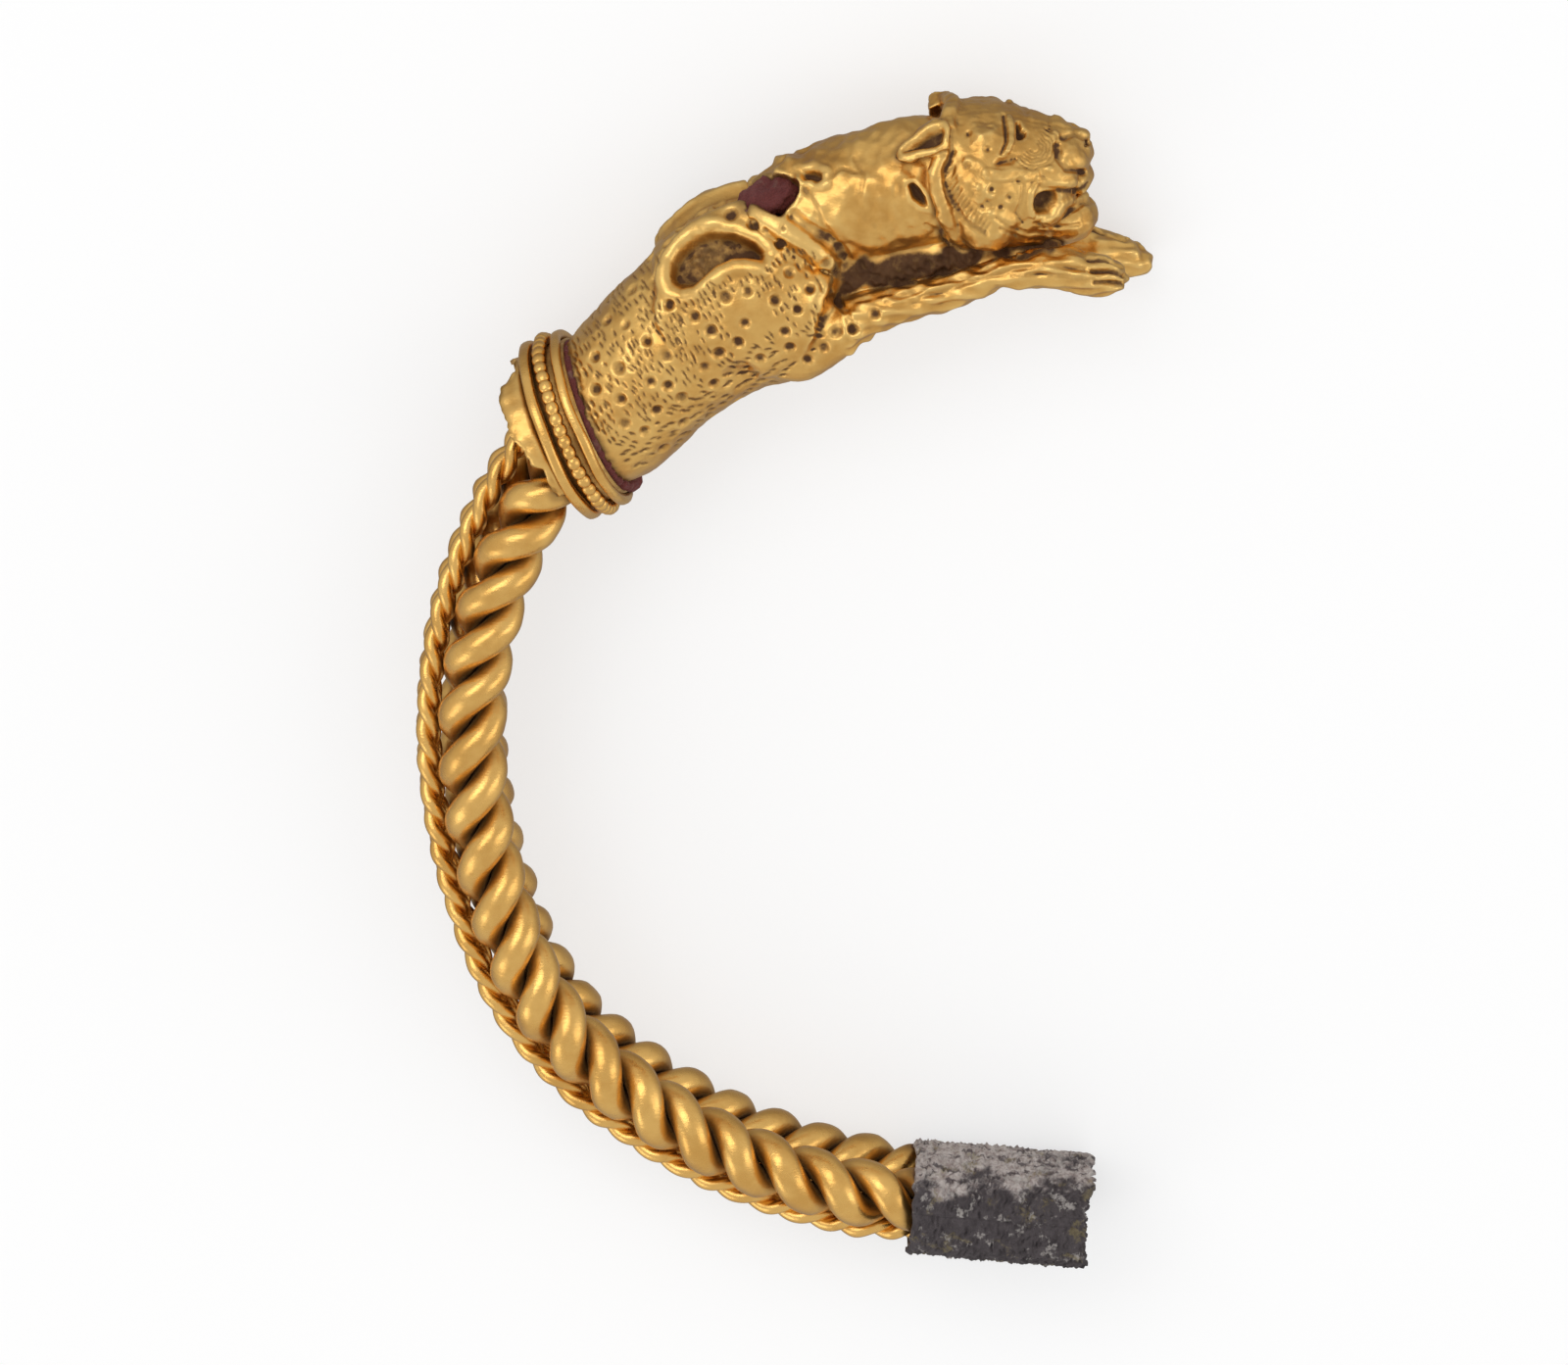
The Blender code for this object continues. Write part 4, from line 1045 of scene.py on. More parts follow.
# The hole is darkened inside as a painted shade.
skin.bowl(NECK_HOLE, depth=0.6, edge=0.22, rim=0.06, soot_and_shade=1.0)
for line in (
    ((18.18, 23.36), (18.99, 23.36), (20.07, 23.27)),
    ((18.00, 24.07), (18.99, 24.07), (20.07, 23.80)),
    ((17.82, 24.79), (18.72, 24.70), (19.98, 24.34)),
    ((20.07, 23.36), (20.79, 22.90), (21.69, 22.09)),
    ((20.25, 22.63), (20.88, 22.18), (21.51, 21.46)),
    ((20.34, 23.98), (21.06, 23.62), (21.78, 22.90)),
):
    skin.groove(line, 0.34, 0.26, soot_and_shade=0.7)
EARTH_AND_SHADOW = (
    (2.97, 23.71), (3.69, 24.34), (5.31, 24.61), (7.11, 25.06), (8.28, 25.27), (10.26, 25.38),
    (11.79, 25.33), (13.23, 25.70), (15.30, 25.96), (17.73, 25.70), (17.55, 25.43), (16.11, 25.56),
    (14.49, 25.24), (12.78, 24.88), (11.34, 24.61), (9.81, 24.07), (7.92, 23.62), (6.21, 23.22),
    (4.59, 22.99), (3.42, 22.63),
)
# The gap between legs and neck is painted dark, earth lumps and painted shadow together.
earth_and_shadow = skin.inside(EARTH_AND_SHADOW) + 0.16 * waves(skin.points, 1.5, 40)
skin.add_dirt_and_shade(smooth_step(earth_and_shadow, -0.55, 0.35))
skin.lift += 0.11 * waves(skin.points, 0.6, 40) * smooth_step(earth_and_shadow, 0.0, 0.4)
skin.settle(1)
print("share of the skin under earth:", round(float((earth_and_shadow > 0).mean()), 4))

# %% [markdown]
# ## The head
#
# The head is worked the same way, with finer tools: the groove and hatching inside the ruff, the ear's
# hollow, brow, eye, whisker wrinkles, nose, lips and open mouth.

# %% Ears and ruff
body_skin = skin
skin = Skin(head)
EAR_HOLLOW = (
    (6.88, 31.06), (7.46, 31.59), (8.31, 32.27), (8.95, 32.54), (9.31, 32.49), (9.42, 32.17),
    (9.21, 31.54), (8.84, 31.27), (8.10, 31.11), (7.35, 30.95), (6.98, 30.90),
)
skin.bowl(EAR_HOLLOW, depth=0.6, edge=0.35, rim=0.08, rim_width=0.3, soot_and_shade=0.75)
RUFF_GROOVE = (
    (9.86, 32.35), (9.81, 30.91), (9.40, 30.02), (9.40, 29.20), (9.76, 28.21), (10.30, 27.36),
    (10.98, 26.68), (11.79, 26.14),
)
skin.groove(RUFF_GROOVE, 0.34, 0.12, soot_and_shade=0.45)
skin.settle(1)
HATCH_LINE = ((9.67, 30.20), (9.90, 29.02), (10.35, 28.12), (10.98, 27.36), (11.88, 26.50))
HATCHES = 16
HATCH_ANGLE = 57.0
starts = np.array(HATCH_LINE)
lengths = lengths_along(starts)
for place in np.linspace(0, lengths[-1], HATCHES):
    at = np.array([np.interp(place, lengths, starts[:, axis]) for axis in (0, 1)])
    at = at + rng.normal(size=2) * 0.03
    angle = math.radians(HATCH_ANGLE + rng.normal() * 4)
    skin.stroke(at, angle, length=1.15, width=0.2, depth=0.12, soot_and_shade=0.35)
skin.settle()
print("hatching marks on the ruff:", HATCHES)

# %% [markdown]
# The open mouth is a deep bowl between two rolled lips. The bowl is pressed first and the skin settles,
# so that the lips are then raised square to the new surface and stand round the hollow.

# %% Mouth, nose and lips
MOUTH = (
    (14.76, 28.57), (15.30, 28.75), (16.02, 28.75), (16.20, 28.39), (16.11, 27.95), (15.66, 27.31),
    (14.89, 27.18), (14.49, 27.49), (14.49, 28.04),
)
skin.groove(((16.11, 28.75), (17.01, 28.75), (17.82, 29.11)), 0.45, 0.14, soot_and_shade=0.7)
# The open mouth is darkened inside as a painted shade.
skin.bowl(MOUTH, depth=0.9, edge=0.35, soot_and_shade=0.85)
skin.groove(((16.29, 31.90), (17.01, 32.09), (18.00, 31.72)), 0.4, 0.16, soot_and_shade=0.45)
skin.groove(((16.02, 31.45), (16.11, 30.55), (16.56, 30.02), (17.55, 29.83)), 0.4, 0.18, soot_and_shade=0.45)
skin.settle(1)
skin.ridge(((14.76, 29.20), (14.45, 28.66), (14.35, 27.95), (14.49, 27.31)), 0.36, 0.13)
skin.ridge(((14.89, 29.38), (15.30, 29.20), (16.38, 29.11), (17.10, 29.20)), 0.5, 0.13)
skin.ridge(((15.21, 26.86), (15.75, 27.09), (16.38, 27.95), (17.19, 28.35), (17.73, 28.57)), 0.5, 0.18)
skin.groove(((15.93, 26.77), (16.74, 27.58), (17.55, 28.04), (18.09, 28.12)), 0.34, 0.12, soot_and_shade=0.35)
NOSTRIL = ((17.55, 31.81), (17.91, 31.81), (18.00, 31.45), (17.64, 31.32))
# The nostril is darkened inside as a painted shade.
skin.bowl(NOSTRIL, depth=0.35, edge=0.12, soot_and_shade=0.9)
skin.settle(1)
print("mouth drawn with", len(MOUTH), "points")

# %% [markdown]
# The eye is a slit under a swollen brow. The whiskers are fine wrinkles in arcs round one point of the
# muzzle, and the cheeks have shallow punch marks and a few small knobs, which are dimples with their
# depth turned round.

# %% Brow, eye and whiskers
BROW = (
    (10.44, 32.35), (11.07, 32.76), (12.15, 32.89), (12.82, 32.67), (12.96, 31.81), (12.51, 31.09),
    (11.61, 30.82), (10.62, 31.09),
)
skin.bowl(BROW, depth=-0.42, edge=1.3)
skin.groove(((12.82, 33.16), (12.98, 32.35), (12.96, 31.54), (12.69, 30.91)), 0.26, 0.12, soot_and_shade=0.35)
skin.ridge(((13.14, 32.98), (13.28, 32.35), (13.27, 31.63), (13.05, 31.09)), 0.42, 0.16)
EYE = (
    (13.50, 32.80), (13.81, 32.89), (13.99, 32.40), (14.26, 32.27), (14.22, 31.95), (13.95, 31.72),
    (13.59, 31.68),
)
# The eye's pit is darkened as a painted shade.
skin.bowl(EYE, depth=0.55, edge=0.2, soot_and_shade=1.0)
UNDER_EYE = (
    (12.15, 30.46), (12.51, 30.82), (13.23, 31.05), (13.86, 31.00), (13.95, 30.46), (13.41, 30.06),
    (12.51, 30.02), (12.15, 30.20),
)
skin.bowl(UNDER_EYE, depth=0.3, edge=0.45, soot_and_shade=0.4)
skin.ridge(((11.88, 29.74), (12.69, 29.61), (13.59, 29.70), (14.58, 29.65)), 0.8, 0.13)
skin.ridge(((10.80, 30.38), (11.43, 30.02), (11.70, 29.29), (11.43, 28.30)), 0.8, 0.1)
skin.ridge(((14.58, 33.07), (15.66, 32.98), (16.74, 32.71)), 0.7, 0.12)
WHISKER_MIDDLE = (14.67, 31.27)
for radius in (0.3, 0.48, 0.68, 0.88, 1.1, 1.32):
    turn = np.radians(np.linspace(-150, 60, 16))
    arc = np.column_stack((
        WHISKER_MIDDLE[0] + radius * np.cos(turn) * (1 + 0.05 * waves(turn, 1.0)),
        WHISKER_MIDDLE[1] + radius * 0.95 * np.sin(turn) * (1 + 0.05 * waves(turn, 1.0)),
    ))
    skin.groove(arc, 0.15, 0.06, soot_and_shade=0.4)
for place in (
    (10.80, 32.09), (12.06, 32.40), (11.88, 31.18), (13.77, 29.34), (12.15, 28.84), (13.19, 28.35),
    (11.52, 27.77), (10.71, 30.20), (15.48, 32.35), (12.69, 27.77),
):
    skin.dimple(place, 0.3 * rng.uniform(0.9, 1.15), 0.12, soot_and_shade=0.22)
for place in (
    (11.25, 29.02), (12.06, 28.39), (12.15, 27.49), (13.68, 30.55), (15.84, 32.09), (15.48, 30.02),
):
    skin.dimple(place, 0.34, -0.1, soot_and_shade=0.0)
for line in (
    ((12.42, 27.13), (13.14, 26.59), (14.31, 26.32), (16.11, 26.23)),
    ((12.69, 26.50), (13.86, 25.96), (15.66, 25.79)),
    ((13.95, 29.11), (13.90, 28.21), (13.59, 27.40), (13.95, 26.86)),
    ((14.67, 26.86), (15.75, 26.59), (17.28, 26.77)),
    ((15.93, 33.62), (15.48, 33.07), (15.57, 32.53)),
):
    skin.groove(line, 0.28, 0.08, soot_and_shade=0.3)
skin.lift += 0.035 * waves(skin.points, 1.3, 40) + 0.008 * waves(skin.points, 0.5, 40)
skin.settle(1)
head_skin = skin
print("head done:", len(head.vertices), "points")

# %% [markdown]
# Crevices are darkened, partly for dirt that stays where nothing rubs it off and partly as painted
# shade in the hollows. For each skin, a heavily smoothed copy is subtracted from the
# real one: what lies below the copy is a crevice and what stands above it is a worn ridge. The result
# is stored on the mesh as an attribute, and the materials read it. The skins are then thinned out
# where they are plain, so that the points are left where the work is fine.


# %% Crevices and ridges as attributes
def hollows(mesh, rounds):
    """How far each point lies below the smoothed surface, negative where it stands above it."""
    points, normals = points_of(mesh)
    return np.einsum("ij,ij->i", smoothed(mesh, points, rounds) - points, normals)


def paint(mesh, name, values):
    layer = mesh.attributes.get(name) or mesh.attributes.new(name, "FLOAT", "POINT")
    layer.data.foreach_set("value", np.asarray(values, np.float32))


def thinned(mesh, triangles):
    ratio = triangles / sum(len(face.vertices) - 2 for face in mesh.polygons)
    return modified(mesh, ("DECIMATE", {"ratio": min(1.0, ratio)}))


FINE_ROUNDS, BROAD_ROUNDS = 8, 60
HEAD_FILM = 0.12
for name, mesh, tools, triangles in (
    ("feline_body", body, body_skin, 192000),
    ("feline_head", head, head_skin, 120000),
):
    fine = hollows(mesh, FINE_ROUNDS)
    broad = hollows(mesh, BROAD_ROUNDS)
    # Fine crevices and broad hollows are darkened: partly dirt, partly painted shade in the hollows.
    dirt_and_shade = smooth_step(fine, 0.003, 0.045) * 0.5 + smooth_step(broad, 0.01, 0.26) * 0.6
    if name == "feline_head":
        dirt_and_shade = dirt_and_shade + HEAD_FILM
    paint(mesh, "dirt_and_shade", np.clip(np.maximum(dirt_and_shade, tools.soot_and_shade), 0.0, 1.0))
    paint(mesh, "wear", smooth_step(-fine, 0.002, 0.03) * 0.6 + smooth_step(-broad, 0.01, 0.15) * 0.6)
    add_piece(name, thinned(mesh, triangles), "sheet_gold", "feline_forepart")

# %% [markdown]
# ## The filling
#
# The animal is filled with a dark red mass, which shows in the tear, and a rim of old filler lies
# between the collar's front wire and the body. Both are lumpy, so a fine ball and a ring are roughened.

# %% Filling and filler
LUMP_PLACE = (-0.9, 30.75, 1.1)
LUMP_SIZE = (2.0, 1.0, 1.7)
LUMP_TURN = 28.0
FILLER_RADIUS, FILLER_PLACE = 4.5, 1.1
FILLER_THICK, FILLER_LUMP = 0.14, 0.45
lump = ball(LUMP_PLACE, LUMP_SIZE, LUMP_TURN)
lump_skin = Skin(lump)
lump_skin.lift += 0.12 * waves(lump_skin.points, 0.9, 40) + 0.05 * waves(lump_skin.points, 0.4, 40)
lump_skin.settle()
angle = full_turn(260)
circle = circle_at(angle)
turn = full_turn(12)
thick = FILLER_THICK + 0.06 * np.abs(waves(circle, 0.4)) + 0.03 * waves(circle, 0.1)
thick = thick + FILLER_LUMP * np.exp(-(((angle - math.pi) / 0.3) ** 2))
along = FILLER_PLACE + thick[:, None] * np.cos(turn) * 1.2
radius = FILLER_RADIUS + thick[:, None] * np.sin(turn)
filler = ringed("filler", collar_point(along, radius, angle[:, None]), closed=True)
add_piece("filling_and_filler", joined("filling", [lump, filler]), "red_filling", "red_filling")


# %% [markdown]
# Crevices between separate pieces, such as two wires side by side, are found by measuring from each
# point to the nearest other piece. The finishes darken them for dirt and, where the pieces nearly
# touch, as a painted shade.

# %% Where pieces nearly touch
NEAR = {"twisted": 0.9, "thin_cord": 0.45, "collar": 0.3}


def reach_of(name):
    """How far away another piece still darkens this one with dirt and painted shade, in millimetres."""
    return next((reach for start, reach in NEAR.items() if name.startswith(start)), 0.5)


clouds = {name: points_of(piece.data)[0] for name, piece in made.items()}
trees = {}
for name, piece in made.items():
    faces = [tuple(face.vertices) for face in piece.data.polygons]
    trees[name] = BVHTree.FromPolygons(clouds[name].tolist(), faces)
for name, piece in made.items():
    cloud = clouds[name]
    reach = reach_of(name) * MM
    gap = np.full(len(cloud), reach)
    for other, tree in trees.items():
        if other == name:
            continue
        low, high = clouds[other].min(0), clouds[other].max(0)
        close = np.flatnonzero(np.all((cloud > low - reach) & (cloud < high + reach), axis=1))
        for index in close:
            found = tree.find_nearest(cloud[index], reach)
            if found[3] is not None and found[3] < gap[index]:
                gap[index] = found[3]
    # Nearness to another piece, which the finishes turn into dirt and a painted shade between the
    # parts.
    paint(piece.data, "contact", 1.0 - gap / reach)
    # Pieces without their own crevice layer get one from their hollows, for dirt and painted shade.
    if "dirt_and_shade" not in piece.data.attributes:
        fine = hollows(piece.data, 4) / MM
        paint(piece.data, "dirt_and_shade", smooth_step(fine, 0.004, 0.05) * 0.5)
        paint(piece.data, "wear", smooth_step(-fine, 0.002, 0.02) * 0.5)
print("pieces with their crevices measured:", len(made))

# %% [markdown]
# ## Finishes
#
# Two effects serve several finishes, so each is a node group. The first turns the mesh's attributes
# into dirt and painted shade: the crevice values, broken up by a noise so that it never ends in a clean
# line. It gives dark earth and painted shade where it is thick, and a brown film round it that is
# partly a painted shade. The second gives the height of a hand-worked surface: soft dents, fine
# scratches and grain.


# %% Node helpers
def maths(tree, operation, *values):
    node = tree.nodes.new("ShaderNodeMath")
    node.operation = operation
    for socket, value in zip(node.inputs, values):
        if isinstance(value, (int, float)):
            socket.default_value = value
        else:
            tree.links.new(value, socket)
    return node.outputs[0]


def mixed(tree, share, one, other):
    node = tree.nodes.new("ShaderNodeMix")
    node.data_type = "RGBA"
    for socket, value in zip((node.inputs[0], node.inputs[6], node.inputs[7]), (share, one, other)):
        if isinstance(value, bpy.types.NodeSocket):
            tree.links.new(value, socket)
        elif isinstance(value, tuple):
            socket.default_value = (*value, 1.0)
        else:
            socket.default_value = value
    return node.outputs[2]


def stepped(tree, value, low, high):
    node = tree.nodes.new("ShaderNodeMapRange")
    node.interpolation_type = "SMOOTHSTEP"
    tree.links.new(value, node.inputs["Value"])
    node.inputs["From Min"].default_value = low
    node.inputs["From Max"].default_value = high
    return node.outputs["Result"]


def noise(tree, size_mm, detail=3.0, roughness=0.5, distortion=0.0):
    """Noise whose lumps are about the given size in millimetres."""
    where = tree.nodes.new("ShaderNodeTexCoord")
    node = tree.nodes.new("ShaderNodeTexNoise")
    node.inputs["Scale"].default_value = 1.0 / (size_mm * MM)
    node.inputs["Detail"].default_value = detail
    node.inputs["Roughness"].default_value = roughness
    node.inputs["Distortion"].default_value = distortion
    tree.links.new(where.outputs["Object"], node.inputs["Vector"])
    return node.outputs["Fac"]


def new_group(name, inputs, outputs):
    tree = bpy.data.node_groups.new(name, "ShaderNodeTree")
    for label, kind, value in inputs:
        socket = tree.interface.new_socket(name=label, in_out="INPUT", socket_type=kind)
        socket.default_value = value
    for label, kind in outputs:
        tree.interface.new_socket(name=label, in_out="OUTPUT", socket_type=kind)
    return tree, tree.nodes.new("NodeGroupInput").outputs, tree.nodes.new("NodeGroupOutput").inputs


print("helpers ready")

# %% Group: crevice dirt and painted shade
FLOAT = "NodeSocketFloat"
dirt_and_shade_group, given, result = new_group(
    "Crevice dirt",
    [("Dirt Amount", FLOAT, 1.0), ("Contact Amount", FLOAT, 1.0)],
    [("DirtAndShade", FLOAT), ("FilmAndShade", FLOAT), ("Wear", FLOAT)],
)
layers = {}
for layer in ("dirt_and_shade", "contact", "wear"):
    node = dirt_and_shade_group.nodes.new("ShaderNodeAttribute")
    node.attribute_name = layer
    layers[layer] = node.outputs["Fac"]
broken = stepped(dirt_and_shade_group, noise(dirt_and_shade_group, 0.5, 5.0, 0.6), 0.3, 0.65)
crevice = maths(dirt_and_shade_group, "MULTIPLY", layers["dirt_and_shade"], given["Dirt Amount"])
contact = maths(dirt_and_shade_group, "MULTIPLY", layers["contact"], given["Contact Amount"])
# Close contact between pieces darkens like a deep crevice: dirt, and a painted shade where the parts
# nearly touch.
close = stepped(dirt_and_shade_group, contact, 0.62, 0.95)
deep = maths(dirt_and_shade_group, "MAXIMUM", stepped(dirt_and_shade_group, crevice, 0.15, 0.95), close)
patchy = maths(dirt_and_shade_group, "MULTIPLY", deep, maths(dirt_and_shade_group, "MULTIPLY_ADD", broken, 0.45, 0.7))
dirt_and_shade_group.links.new(stepped(dirt_and_shade_group, patchy, 0.05, 0.95), result["DirtAndShade"])
# The wide film round crevices and contacts is partly a brown film of dirt, partly a painted shade on
# the sides of the wires turned to their neighbours.
wide = maths(dirt_and_shade_group, "MAXIMUM", crevice, stepped(dirt_and_shade_group, contact, 0.05, 0.85))
film_and_shade = maths(dirt_and_shade_group, "MULTIPLY", wide, maths(dirt_and_shade_group, "MULTIPLY_ADD", broken, 0.3, 0.75))
dirt_and_shade_group.links.new(film_and_shade, result["FilmAndShade"])
dirt_and_shade_group.links.new(layers["wear"], result["Wear"])
print(dirt_and_shade_group.name, "has", len(dirt_and_shade_group.nodes), "nodes")

# %% Group: hand-worked surface
hand_group, given, result = new_group(
    "Hand-worked surface",
    [("Dents", FLOAT, 0.5), ("Scratches", FLOAT, 0.3), ("Grain", FLOAT, 0.2)],
    [("Height", FLOAT), ("Polish", FLOAT)],
)
dents = maths(hand_group, "MULTIPLY", noise(hand_group, 1.6, 2.0), given["Dents"])
where = hand_group.nodes.new("ShaderNodeTexCoord")
stretch = hand_group.nodes.new("ShaderNodeMapping")
stretch.inputs["Rotation"].default_value = (0.4, 0.3, 0.7)
stretch.inputs["Scale"].default_value = (600.0, 9000.0, 3500.0)
hand_group.links.new(where.outputs["Object"], stretch.inputs["Vector"])
lines = hand_group.nodes.new("ShaderNodeTexNoise")
lines.inputs["Scale"].default_value = 1.0
lines.inputs["Detail"].default_value = 3.0
hand_group.links.new(stretch.outputs[0], lines.inputs["Vector"])
scratches = maths(hand_group, "MULTIPLY", lines.outputs["Fac"], given["Scratches"])
grain = maths(hand_group, "MULTIPLY", noise(hand_group, 0.12, 4.0, 0.6), given["Grain"])
height = maths(hand_group, "ADD", maths(hand_group, "ADD", dents, scratches), grain)
hand_group.links.new(height, result["Height"])
hand_group.links.new(noise(hand_group, 0.9, 4.0, 0.6), result["Polish"])
print(hand_group.name, "has", len(hand_group.nodes), "nodes")

# %% [markdown]
# The finishes themselves: satin gold sheet, the deeper and smoother gold of the wires, silver gone
# black and grey with pale and yellow-brown crusts, and the dull red filling.


# %% Gold
def placed(tree, group, **values):
    node = tree.nodes.new("ShaderNodeGroup")
    node.node_tree = group
    for name, value in values.items():
        node.inputs[name.replace("_", " ")].default_value = value
    return node.outputs


def new_material(name):
    material = bpy.data.materials.new(f"{name}_finish")
    material.use_nodes = True
    return material, material.node_tree, material.node_tree.nodes["Principled BSDF"]


def relief(tree, surface, height, depth_mm):
    bump = tree.nodes.new("ShaderNodeBump")
    bump.inputs["Strength"].default_value = 1.0
    bump.inputs["Distance"].default_value = depth_mm * MM
    tree.links.new(height, bump.inputs["Height"])
    tree.links.new(bump.outputs["Normal"], surface.inputs["Normal"])


WORN_GOLD = (1.0, 0.68, 0.24)
# The brown film tone serves dirt and painted shade; the earth tones serve earth and the painted shade
# of deep holes, pits and gaps.
BROWN_FILM_AND_SHADE = (0.26, 0.15, 0.058)
EARTH_AND_SHADE_TONES = ((0.055, 0.022, 0.012), (0.15, 0.075, 0.032))


def gold(name, bright, deep, dirt_and_shade_amount, contact_amount, dents, scratches, grain, polish):
    material, tree, surface = new_material(name)
    dirt_and_shade = placed(tree, dirt_and_shade_group, Dirt_Amount=dirt_and_shade_amount, Contact_Amount=contact_amount)
    work = placed(tree, hand_group, Dents=dents, Scratches=scratches, Grain=grain)
    metal = mixed(tree, stepped(tree, noise(tree, 2.6, 4.0, 0.6), 0.35, 0.68), bright, deep)
    metal = mixed(tree, maths(tree, "MULTIPLY", dirt_and_shade["Wear"], 0.45), metal, WORN_GOLD)
    # Brown film and earth tones are laid on by the crevice layers: dirt, and painted shade in hollows,
    # holes and between parts.
    metal = mixed(tree, maths(tree, "MULTIPLY", dirt_and_shade["FilmAndShade"], 0.8), metal, BROWN_FILM_AND_SHADE)
    soil_and_shade = mixed(tree, noise(tree, 0.8, 3.0), *EARTH_AND_SHADE_TONES)
    tree.links.new(mixed(tree, dirt_and_shade["DirtAndShade"], metal, soil_and_shade), surface.inputs["Base Color"])
    tree.links.new(maths(tree, "MULTIPLY_ADD", dirt_and_shade["DirtAndShade"], -0.85, 1.0), surface.inputs["Metallic"])
    rough = maths(tree, "MULTIPLY_ADD", work["Polish"], 0.2, polish)
    rough = maths(tree, "MULTIPLY_ADD", dirt_and_shade["FilmAndShade"], 0.2, rough)
    rough = maths(tree, "MULTIPLY_ADD", dirt_and_shade["DirtAndShade"], 0.25, rough)
    tree.links.new(rough, surface.inputs["Roughness"])
    surface.inputs["Specular IOR Level"].default_value = 0.15
    relief(tree, surface, work["Height"], 0.12)
    return material


sheet_gold = gold(
    "sheet_gold",
    bright=(0.83, 0.495, 0.145),
    deep=(0.66, 0.345, 0.085),
    dirt_and_shade_amount=1.0,
    contact_amount=0.9,
    dents=0.5,
    scratches=0.05,
    grain=0.12,
    polish=0.22,
)
wire_gold = gold(
    "wire_gold",
    bright=(0.84, 0.485, 0.135),
    deep=(0.66, 0.33, 0.07),
    dirt_and_shade_amount=0.8,
    contact_amount=1.0,
    dents=0.4,
    scratches=0.10,
    grain=0.08,
    polish=0.18,
)
print("gold finishes:", sheet_gold.name, wire_gold.name)

# %% [markdown]
# The silver has a black skin, and past a wavering line a pale crust covers it, with dark flecks where
# the crust has come off. Smaller patches of chalk white and yellow-brown lie over both. The filling is
# a dull earthy red with some dust. Neither takes the crevice dirt and painted shade, as their own
# crusts are what is seen.

# %% Silver and filling
BLACKENED = ((0.055, 0.045, 0.048), (0.12, 0.10, 0.105))
PALE_CRUST = ((0.36, 0.29, 0.27), (0.62, 0.56, 0.53))
DARK_FLECK = (0.09, 0.07, 0.075)
CHALK = (0.52, 0.48, 0.45)
YELLOW_BROWN = (0.30, 0.24, 0.11)
PALE_FROM, PALE_TO = -0.0284, -0.0276
DARK_RED, PALE_RED = (0.10, 0.012, 0.014), (0.24, 0.05, 0.04)
DUST = (0.30, 0.19, 0.14)
silver, tree, surface = new_material("tarnished_silver")
work = placed(tree, hand_group, Dents=0.4, Scratches=0.1, Grain=0.6)
dark = mixed(tree, noise(tree, 0.7, 4.0, 0.6), *BLACKENED)
where = tree.nodes.new("ShaderNodeTexCoord")
split = tree.nodes.new("ShaderNodeSeparateXYZ")
tree.links.new(where.outputs["Object"], split.inputs[0])
wobble = maths(tree, "MULTIPLY_ADD", noise(tree, 2.5, 5.0, 0.65), 0.005, split.outputs["Y"])
upper = stepped(tree, wobble, PALE_FROM, PALE_TO)
specks = stepped(tree, noise(tree, 0.4, 4.0, 0.65), 0.35, 0.6)
pale = mixed(tree, specks, *PALE_CRUST)
fleck = stepped(tree, noise(tree, 0.9, 6.0, 0.7, 0.6), 0.53, 0.60)
pale = mixed(tree, maths(tree, "MULTIPLY", fleck, 0.85), pale, DARK_FLECK)
tone = mixed(tree, upper, dark, pale)
white = stepped(tree, noise(tree, 1.1, 6.0, 0.7), 0.56, 0.64)
tone = mixed(tree, maths(tree, "MULTIPLY", white, 0.8), tone, CHALK)
crust = stepped(tree, noise(tree, 1.5, 5.0, 0.65, 0.4), 0.56, 0.66)
tone = mixed(tree, maths(tree, "MULTIPLY", crust, 0.55), tone, YELLOW_BROWN)
tree.links.new(tone, surface.inputs["Base Color"])
surface.inputs["Metallic"].default_value = 0.35
tree.links.new(maths(tree, "MULTIPLY_ADD", work["Polish"], 0.3, 0.4), surface.inputs["Roughness"])
relief(tree, surface, work["Height"], 0.25)

filling, tree, surface = new_material("red_filling")
work = placed(tree, hand_group, Dents=0.4, Scratches=0.0, Grain=1.0)
tone = mixed(tree, noise(tree, 0.5, 5.0, 0.65), DARK_RED, PALE_RED)
dust = stepped(tree, noise(tree, 0.9, 4.0, 0.6), 0.55, 0.75)
tone = mixed(tree, maths(tree, "MULTIPLY", dust, 0.5), tone, DUST)
tree.links.new(tone, surface.inputs["Base Color"])
surface.inputs["Roughness"].default_value = 0.75
relief(tree, surface, work["Height"], 0.25)

finish_of = {
    "sheet_gold": sheet_gold,
    "wire_gold": wire_gold,
    "tarnished_silver": silver,
    "red_filling": filling,
}
for piece in made.values():
    piece.data.materials.clear()
    piece.data.materials.append(finish_of[piece["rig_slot"]])
print("finishes:", ", ".join(finish_of))

# %% [markdown]
# ## Floor, light and camera
#
# The floor is a plain pale sheet. The light comes from large soft boxes, and the sky between them
# is dimmer, because gold only looks like gold when it has something darker to mirror. The floor
# shines a little by itself, so that it stays pale under the bracelet, and it isn't seen in mirror
# rays, because its white would wash out the underside of every wire.

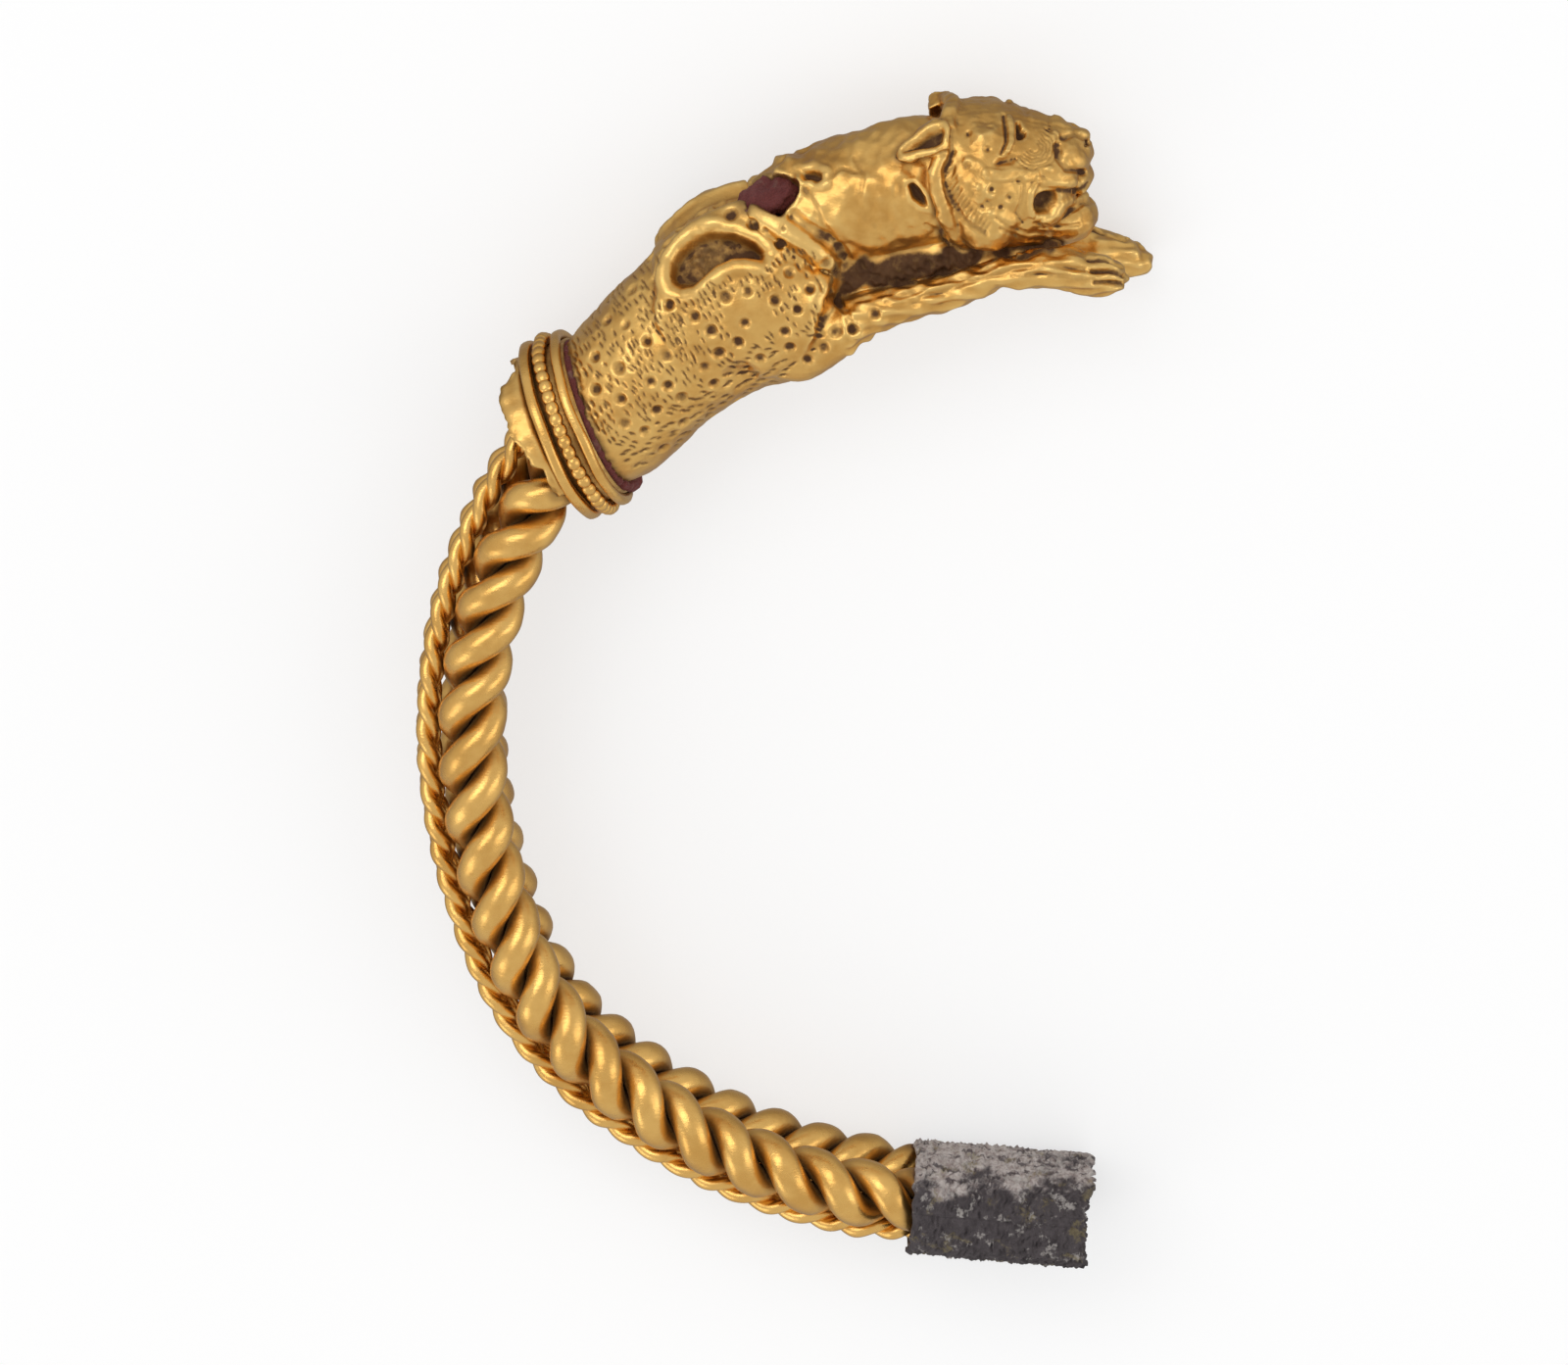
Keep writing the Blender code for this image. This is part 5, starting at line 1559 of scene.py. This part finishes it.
# %% Floor and light
shape = bmesh.new()
bmesh.ops.create_grid(shape, x_segments=1, y_segments=1, size=3.0)
floor_mesh = bpy.data.meshes.new("floor")
shape.to_mesh(floor_mesh)
shape.free()
floor = bpy.data.objects.new("floor", floor_mesh)
bpy.context.scene.collection.objects.link(floor)
floor.location.z = -0.0002
floor.visible_glossy = False
paper, tree, surface = new_material("pale_paper")
surface.inputs["Base Color"].default_value = (0.45, 0.45, 0.45, 1.0)
surface.inputs["Emission Color"].default_value = (1.0, 1.0, 1.0, 1.0)
surface.inputs["Emission Strength"].default_value = 0.58
surface.inputs["Roughness"].default_value = 0.9
surface.inputs["Specular IOR Level"].default_value = 0.1
floor_mesh.materials.append(paper)

world = bpy.data.worlds.new("studio")
world.use_nodes = True
bpy.context.scene.world = world
tree = world.node_tree
sky = tree.nodes["Background"]
where = tree.nodes.new("ShaderNodeTexCoord")
split = tree.nodes.new("ShaderNodeSeparateXYZ")
tree.links.new(where.outputs["Generated"], split.inputs[0])
upward = stepped(tree, split.outputs["Z"], -0.8, 0.1)
tree.links.new(mixed(tree, upward, (0.34, 0.32, 0.30), (0.70, 0.70, 0.70)), sky.inputs["Color"])


def soft_box(name, place, size, watts):
    light = bpy.data.lights.new(name, "AREA")
    light.shape = "RECTANGLE"
    light.size, light.size_y = size
    light.energy = watts
    lamp = bpy.data.objects.new(name, light)
    lamp.location = place
    lamp.rotation_mode = "QUATERNION"
    lamp.rotation_quaternion = (-Vector(place)).to_track_quat("-Z", "Y")
    bpy.context.scene.collection.objects.link(lamp)


soft_box("key_box", (-0.50, 0.75, 1.00), (1.10, 0.60), 3.6)
soft_box("side_box", (1.00, 0.10, 0.60), (0.50, 0.90), 1.5)
soft_box("low_box", (-0.80, -0.55, 0.50), (0.50, 0.50), 0.9)

# %% [markdown]
# The camera looks down on the bracelet as the photograph does: square to the bracelet's X axis and
# tilted over its back. A long lens keeps the lines nearly parallel.

# %% Camera
FRAME_CENTRE = (0.0, 0.0)
FRAME_WIDTH = 92.0
LENS = 1500.0
SENSOR = 36.0
tilt = math.radians(VIEW_TILT)
turn = REST.to_3x3().normalized()
right = turn @ Vector((1.0, 0.0, 0.0))
over = turn @ Vector((0.0, math.cos(tilt), -math.sin(tilt)))
back = turn @ Vector((0.0, math.sin(tilt), math.cos(tilt)))
origin = REST.translation
camera_data = bpy.data.cameras.new("camera")
camera_data.lens = LENS
camera_data.sensor_width = SENSOR
camera = bpy.data.objects.new("camera", camera_data)
aim = origin + (right * FRAME_CENTRE[0] + over * FRAME_CENTRE[1]) * MM
camera.location = aim + back * (FRAME_WIDTH * MM * LENS / SENSOR)
camera.rotation_mode = "QUATERNION"
camera.rotation_quaternion = Matrix((right, over, back)).transposed().to_quaternion()
camera_data.clip_start, camera_data.clip_end = 0.1, 20.0
bpy.context.scene.collection.objects.link(camera)
bpy.context.scene.camera = camera
bpy.context.scene.view_settings.view_transform = "Standard"
print("camera is", round((camera.location - aim).length * 1000), "mm away")
